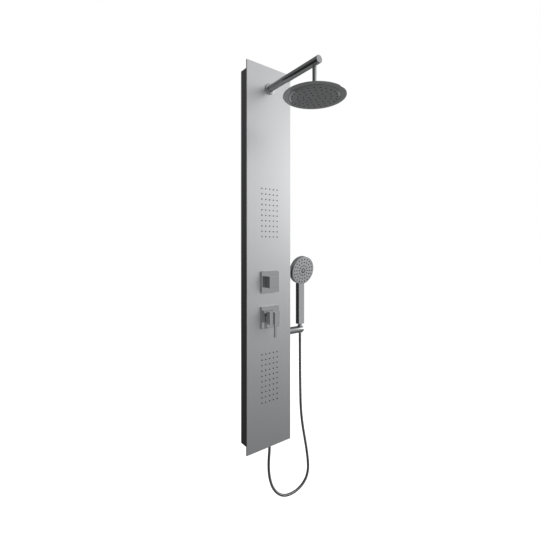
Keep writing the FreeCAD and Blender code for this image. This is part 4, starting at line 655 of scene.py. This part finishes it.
def edit_faces(piece, chosen):
    """Enters edit mode with only the faces that pass the test selected."""
    bpy.ops.object.mode_set(mode="EDIT")
    bpy.ops.mesh.select_mode(type="FACE")
    bpy.ops.mesh.select_all(action="DESELECT")
    bpy.ops.object.mode_set(mode="OBJECT")
    for face in piece.data.polygons:
        face.select = chosen(face)
    bpy.ops.object.mode_set(mode="EDIT")


def soft_nozzle(name, radius):
    """One soft nozzle standing up from z = 0: collar, tapered tip and mouth."""
    bpy.ops.object.select_all(action="DESELECT")
    bpy.ops.mesh.primitive_cylinder_add(vertices=16, radius=radius, depth=NOZZLE_DEPTH,
                                        location=(0.0, 0.0, NOZZLE_MIDDLE))
    piece = bpy.context.object
    piece.name = name
    bpy.ops.object.transform_apply(location=True, rotation=True, scale=True)
    edit_faces(piece, lambda face: face.normal.z > 0.9)
    for inset, rise in NOZZLE_STEPS:
        bpy.ops.mesh.inset(thickness=inset, depth=rise)
    bpy.ops.object.mode_set(mode="OBJECT")
    return piece


def nozzle_field(name, radius, spots, place):
    """Soft nozzles at flat (x, y) spots of a face, as one piece."""
    first = soft_nozzle(name, radius)
    copies = []
    for index, (right, up) in enumerate(spots):
        copy = first
        if index < len(spots) - 1:
            copy = first.copy()
            copy.data = first.data.copy()
            bpy.context.scene.collection.objects.link(copy)
        copy.data.transform(place @ Matrix.Translation((right, up, 0.0)))
        copies.append(copy)
    bpy.ops.object.select_all(action="DESELECT")
    for copy in copies:
        copy.select_set(True)
    bpy.context.view_layer.objects.active = first
    bpy.ops.object.join()
    bpy.ops.object.shade_smooth_by_angle(angle=NOZZLE_SMOOTH)
    first.data.materials.append(finish_of("Nozzle rubber"))
    return first


def route_line(route, plane):
    """Closely spaced points on the smooth line that the route's points steer."""
    curve = bpy.data.curves.new("Hose route", "CURVE")
    curve.dimensions = "3D"
    curve.resolution_u = 24
    spline = curve.splines.new("NURBS")
    spline.points.add(len(route) - 1)
    for point, (right, up) in zip(spline.points, route):
        point.co = (right, plane, up, 1.0)
    spline.order_u = 3
    spline.use_endpoint_u = True
    holder = bpy.data.objects.new("Hose route", curve)
    bpy.context.scene.collection.objects.link(holder)
    bpy.context.view_layer.update()
    mesh = bpy.data.meshes.new_from_object(holder)
    points = [vertex.co.copy() for vertex in mesh.vertices]
    bpy.data.objects.remove(holder)
    bpy.data.meshes.remove(mesh)
    bpy.data.curves.remove(curve)
    return points


def evenly(points, step):
    """Points a step apart along a chain of points, the last one kept."""
    lengths = [0.0]
    for a, b in zip(points, points[1:]):
        lengths.append(lengths[-1] + (b - a).length)
    count = round(lengths[-1] / step)
    spots = []
    at = 0
    for i in range(count + 1):
        goal = lengths[-1] * i / count
        while at < len(points) - 2 and lengths[at + 1] < goal:
            at += 1
        share = (goal - lengths[at]) / max(lengths[at + 1] - lengths[at], 1e-9)
        spots.append(points[at].lerp(points[at + 1], share))
    return spots


def wound_mesh(name, spots, hose):
    """Closed tube along the spots, wound in a spiral of one turn per round of HOSE_SWELL."""
    rings_per_turn = len(HOSE_SWELL)
    crest = hose.diameter / 2
    side = Vector((0.0, 1.0, 0.0))
    mesh = bmesh.new()
    # Painted shade: per point, how far the hose's colour darkens, full in the grooves between turns.
    groove_shading = mesh.verts.layers.float.new("groove_shading")
    rings = []
    for index, spot in enumerate(spots):
        before = spots[max(index - 1, 0)]
        after = spots[min(index + 1, len(spots) - 1)]
        across = (after - before).normalized().cross(side)
        ring = []
        for k in range(hose.sides):
            turn = k / hose.sides
            phase = (index / rings_per_turn + turn) % 1.0 * rings_per_turn
            low, share = int(phase) % rings_per_turn, phase % 1.0
            swell = HOSE_SWELL[low] * (1 - share) + HOSE_SWELL[(low + 1) % rings_per_turn] * share
            radius = crest - hose.groove * (1.0 - swell)
            angle = 2 * math.pi * turn
            ring.append(mesh.verts.new(
                spot + radius * (math.cos(angle) * side + math.sin(angle) * across)))
            ring[-1][groove_shading] = 1.0 - swell
        rings.append(ring)
    for ring, following in zip(rings, rings[1:]):
        for k in range(hose.sides):
            n = (k + 1) % hose.sides
            mesh.faces.new((ring[k], ring[n], following[n], following[k]))
    mesh.faces.new(list(reversed(rings[0])))
    mesh.faces.new(rings[-1])
    bmesh.ops.recalc_face_normals(mesh, faces=mesh.faces)
    data = bpy.data.meshes.new(name)
    mesh.to_mesh(data)
    mesh.free()
    for face in data.polygons:
        face.use_smooth = True
    return data


# ---- pieces ----

class OBJECT_OT_column_front_sheet(bpy.types.Operator):
    """Gives the folded front sheet its satin steel"""

    bl_idname = "object.column_front_sheet"
    bl_label = "Front Sheet"

    def execute(self, context):
        dress("Satin steel sheet", "front_panel")
        return {"FINISHED"}


class OBJECT_OT_column_housing(bpy.types.Operator):
    """Gives the housing, rails, brackets and nuts behind the sheet their coats"""

    bl_idname = "object.column_housing"
    bl_label = "Housing"

    def execute(self, context):
        dress("Black powder coat", "rear_housing")
        dress("Zinc plate", "stud_nuts", "hanging_rails", "wall_brackets", "holder_bolt")
        return {"FINISHED"}


class OBJECT_OT_column_arm(bpy.types.Operator):
    """Finishes the shower arm, its flange, cap and drop pipe"""

    bl_idname = "object.column_arm"
    bl_label = "Shower Arm"

    def execute(self, context):
        dress("Polished chrome", "shower_arm")
        dress("Arm end chrome painted darker", "arm_end_cap", "drop_pipe")
        flange = turned("arm_flange_rounded", "Polished chrome", [
            (FLANGE_BORE, 0.0, 0.0), (FLANGE_RADIUS, 0.0, 0.0),
            (FLANGE_RADIUS, FLANGE_THICKNESS, 0.0028), (FLANGE_BORE, FLANGE_THICKNESS, 0.0006),
            (FLANGE_BORE, 0.0, 0.0)], face_place(FLANGE_SEAT, 0.0))
        stands_for(flange, "arm_flange", "column")
        dress("Raw brass", "arm_nipple", "arm_lock_nut", "arm_elbow")
        return {"FINISHED"}


class OBJECT_OT_column_overhead(bpy.types.Operator):
    """Finishes the overhead shower and its ball joint"""

    bl_idname = "object.column_overhead"
    bl_label = "Overhead Shower"

    def execute(self, context):
        dress("Polished chrome", "head_swivel_nut", "head_ball_stud")
        cup = [(CUP_RADIUS * math.sin(angle), CUP_CENTRE - CUP_RADIUS * math.cos(angle), 0.0)
               for angle in map(math.radians, CUP_ANGLES)]
        shell = turned("head_shell_rolled", "Polished chrome", [
            (PLATE_OPENING, 0.0, 0.0), (0.0832, 0.0, 0.0), (0.0985, 0.0, 0.0),
            (HEAD_RADIUS, 0.0, 0.0010), (HEAD_RADIUS, HEAD_RIM, 0.0008), (0.0900, 0.0046, 0.008),
            (0.0300, HEAD_DOME, 0.010), (HEAD_BOSS, HEAD_DOME, 0.001),
            (HEAD_BOSS, HEAD_BOSS_TOP, 0.0), *cup, (HEAD_BORE, HEAD_CEILING, 0.0),
            (0.0275, HEAD_CEILING, 0.0), (0.0785, 0.0028, 0.0), (PLATE_OPENING, 0.0012, 0.0),
            (PLATE_OPENING, 0.0, 0.0)], Matrix.Translation(HEAD_FACE), HEAD_SIDES)
        stands_for(shell, "head_shell", "shower_head")
        under = Matrix.Translation(HEAD_FACE) @ Matrix.Rotation(math.pi, 4, "X")
        plate = turned("overhead_plate", "Nozzle plate steel", [
            (0.0, PLATE_RISE, 0.0), (0.0752, PLATE_RISE, 0.0008), (0.0814, 0.0, 0.0),
            (0.0814, -0.0004, 0.0), (PLATE_RADIUS, -0.0004, 0.0), (PLATE_RADIUS, PLATE_BACK, 0.0),
            (0.0, PLATE_BACK, 0.0)], under, HEAD_SIDES)
        ring_finish(plate, under, PLATE_BEVEL, "Polished chrome")
        # Painted shade: the ring at the plate's edge takes the dark rubber finish where its groove
        # shades.
        ring_finish(plate, under, PLATE_SHADE_RING, "Nozzle rubber")
        stands_for(plate, "head_nozzle_plate", "shower_head")
        nozzles = nozzle_field("overhead_nozzles", HEAD_NOZZLE, head_nozzle_spots(),
                               under @ Matrix.Translation((0.0, 0.0, PLATE_RISE)))
        stands_for(nozzles, "head_nozzle_mat", "shower_head")
        dress("White seat plastic", "ball_lower_seat", "ball_upper_seat")
        return {"FINISHED"}


class OBJECT_OT_column_jets(bpy.types.Operator):
    """Finishes the body jets and the boxes behind them"""

    bl_idname = "object.column_jets"
    bl_label = "Body Jets"

    def execute(self, context):
        dress("Nozzle rubber", "upper_jet_mat", "lower_jet_mat")
        dress("Black moulding", "upper_jet_manifold", "lower_jet_manifold", "jet_elbows")
        return {"FINISHED"}


class OBJECT_OT_column_valves(bpy.types.Operator):
    """Finishes the diverter, the mixer and their valve bodies"""

    bl_idname = "object.column_valves"
    bl_label = "Diverter and Mixer"

    def execute(self, context):
        dress("Valve chrome painted brighter", "diverter_plate", "diverter_knob", "mixer_plate", "mixer_handle",
              "mixer_lever", "mixer_sleeve")
        dress("Raw brass", "diverter_valve_body", "diverter_lock_nut", "mixer_valve_body",
              "mixer_lock_nut", "inlet_nuts")
        dress("White seat plastic", "diverter_cartridge", "mixer_cartridge", "mixer_carrier")
        dress("Ground ceramic", "mixer_moving_disc")
        dress("Turned steel", "diverter_spindle", "mixer_stem", "stem_pivot_pin",
              "knob_grub_screw", "handle_grub_screw")
        return {"FINISHED"}


class OBJECT_OT_column_water_lines(bpy.types.Operator):
    """Finishes the water lines inside the housing"""

    bl_idname = "object.column_water_lines"
    bl_label = "Water Lines"

    def execute(self, context):
        dress("Water line", "upper_jets_line", "lower_jets_line", "overhead_line",
              "hand_shower_line", "mixer_link_line")
        return {"FINISHED"}


class OBJECT_OT_column_hand_shower(bpy.types.Operator):
    """Finishes the hand shower, its nozzles and cap, and the hose's ends"""

    bl_idname = "object.column_hand_shower"
    bl_label = "Hand Shower"

    def execute(self, context):
        dress("Handset chrome painted brighter", "handset_body")
        dress("Face satin chrome painted brighter", "handset_face_plate")
        face = face_place(HANDSET_FACE, HANDSET_TILT)
        nozzles = nozzle_field("handset_nozzles", HANDSET_NOZZLE, handset_nozzle_spots(), face)
        stands_for(nozzles, "handset_nozzle_mat", "handset")
        cap = turned("handset_cap", "Handset chrome painted brighter", [
            (0.0, 0.0007, 0.0), (0.0066, 0.0006, 0.0002), (0.0068, CAP_GROOVE_FLOOR, 0.0),
            (0.0098, CAP_GROOVE_FLOOR, 0.0), (0.0099, 0.0005, 0.0001),
            (CAP_RADIUS, 0.0005, 0.0002), (CAP_RADIUS, CAP_BACK, 0.0), (0.0, CAP_BACK, 0.0)], face)
        ring_finish(cap, face, CAP_GROOVE, "Nozzle rubber")
        stands_for(cap, "handset_centre_cap", "handset")
        dress("Polished chrome", "handset_cone_nut", "hose_upper_ferrule", "hose_lower_nut")
        dress("Raw brass", "hose_outlet")
        return {"FINISHED"}


class OBJECT_OT_column_holder(bpy.types.Operator):
    """Models the hand shower's round holder post with its domed end and conical seat"""

    bl_idname = "object.column_holder"
    bl_label = "Holder Post"

    def execute(self, context):
        sideways = Matrix.Translation(POST_ROOT) @ Matrix.Rotation(math.pi / 2, 4, "Y")
        post = turned("holder_post_domed", "Polished chrome", [
            (0.0, 0.0, 0.0), (0.01335, 0.0, 0.0), (POST_RADIUS, 0.0004, 0.0),
            (POST_RADIUS, POST_LENGTH, POST_DOME), (0.0, POST_LENGTH, 0.0)], sideways)
        seat = turned("holder_seat", "Polished chrome", [
            (0.0, SEAT_LOW[1], 0.0), (*SEAT_LOW, 0.0), (*SEAT_HIGH, 0.0),
            (0.0, SEAT_HIGH[1], 0.0)], Matrix.Translation(SEAT_CENTRE))
        cut = post.modifiers.new("Seat", "BOOLEAN")
        cut.operation = "DIFFERENCE"
        cut.object = seat
        bpy.ops.object.select_all(action="DESELECT")
        context.view_layer.objects.active = post
        post.select_set(True)
        bpy.ops.object.modifier_apply(modifier=cut.name)
        bpy.data.objects.remove(seat)
        stands_for(post, "holder_post", "column")
        return {"FINISHED"}


class OBJECT_OT_column_hose(bpy.types.Operator):
    """Winds the hand shower's steel hose along its route"""

    bl_idname = "object.column_hose"
    bl_label = "Hose"

    def execute(self, context):
        hose = hose_settings()
        rings_per_turn = len(HOSE_SWELL)
        spots = evenly(route_line(HOSE_ROUTE, HOSE_PLANE), hose.pitch / rings_per_turn)
        data = wound_mesh("wound_hose", spots, hose)
        piece = bpy.data.objects.new("wound_hose", data)
        context.scene.collection.objects.link(piece)
        data.materials.append(finish_of("Wound hose steel"))
        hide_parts("shower_hose")
        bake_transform(piece)
        return {"FINISHED"}


# ---- panel and registration ----

STEPS = (
    OBJECT_OT_column_stage, OBJECT_OT_column_hose, OBJECT_OT_column_front_sheet,
    OBJECT_OT_column_housing, OBJECT_OT_column_arm, OBJECT_OT_column_overhead,
    OBJECT_OT_column_jets, OBJECT_OT_column_valves, OBJECT_OT_column_water_lines,
    OBJECT_OT_column_hand_shower, OBJECT_OT_column_holder,
)


class VIEW3D_PT_shower_column(bpy.types.Panel):
    bl_label = "Shower Column"
    bl_space_type = "VIEW_3D"
    bl_region_type = "UI"
    bl_category = "Shower Column"

    def draw(self, context):
        for step in STEPS:
            self.layout.operator(step.bl_idname)
        for name in ("column_stage", "column_finish", "column_hose"):
            settings = getattr(context.scene, name)
            box = self.layout.box()
            for key in settings.__annotations__:
                box.prop(settings, key)


SETTINGS = (
    ("column_stage", ColumnStageSettings),
    ("column_finish", ColumnFinishSettings),
    ("column_hose", ColumnHoseSettings),
)


def register():
    for name, group in SETTINGS:
        bpy.utils.register_class(group)
        setattr(bpy.types.Scene, name, PointerProperty(type=group))
    for step in STEPS:
        bpy.utils.register_class(step)
    bpy.utils.register_class(VIEW3D_PT_shower_column)


def unregister():
    bpy.utils.unregister_class(VIEW3D_PT_shower_column)
    for step in reversed(STEPS):
        bpy.utils.unregister_class(step)
    for name, group in reversed(SETTINGS):
        delattr(bpy.types.Scene, name)
        bpy.utils.unregister_class(group)


def main():
    register()
    for step in STEPS:
        group, name = step.bl_idname.split(".")
        getattr(getattr(bpy.ops, group), name)()


if __name__ == "__main__":
    main()
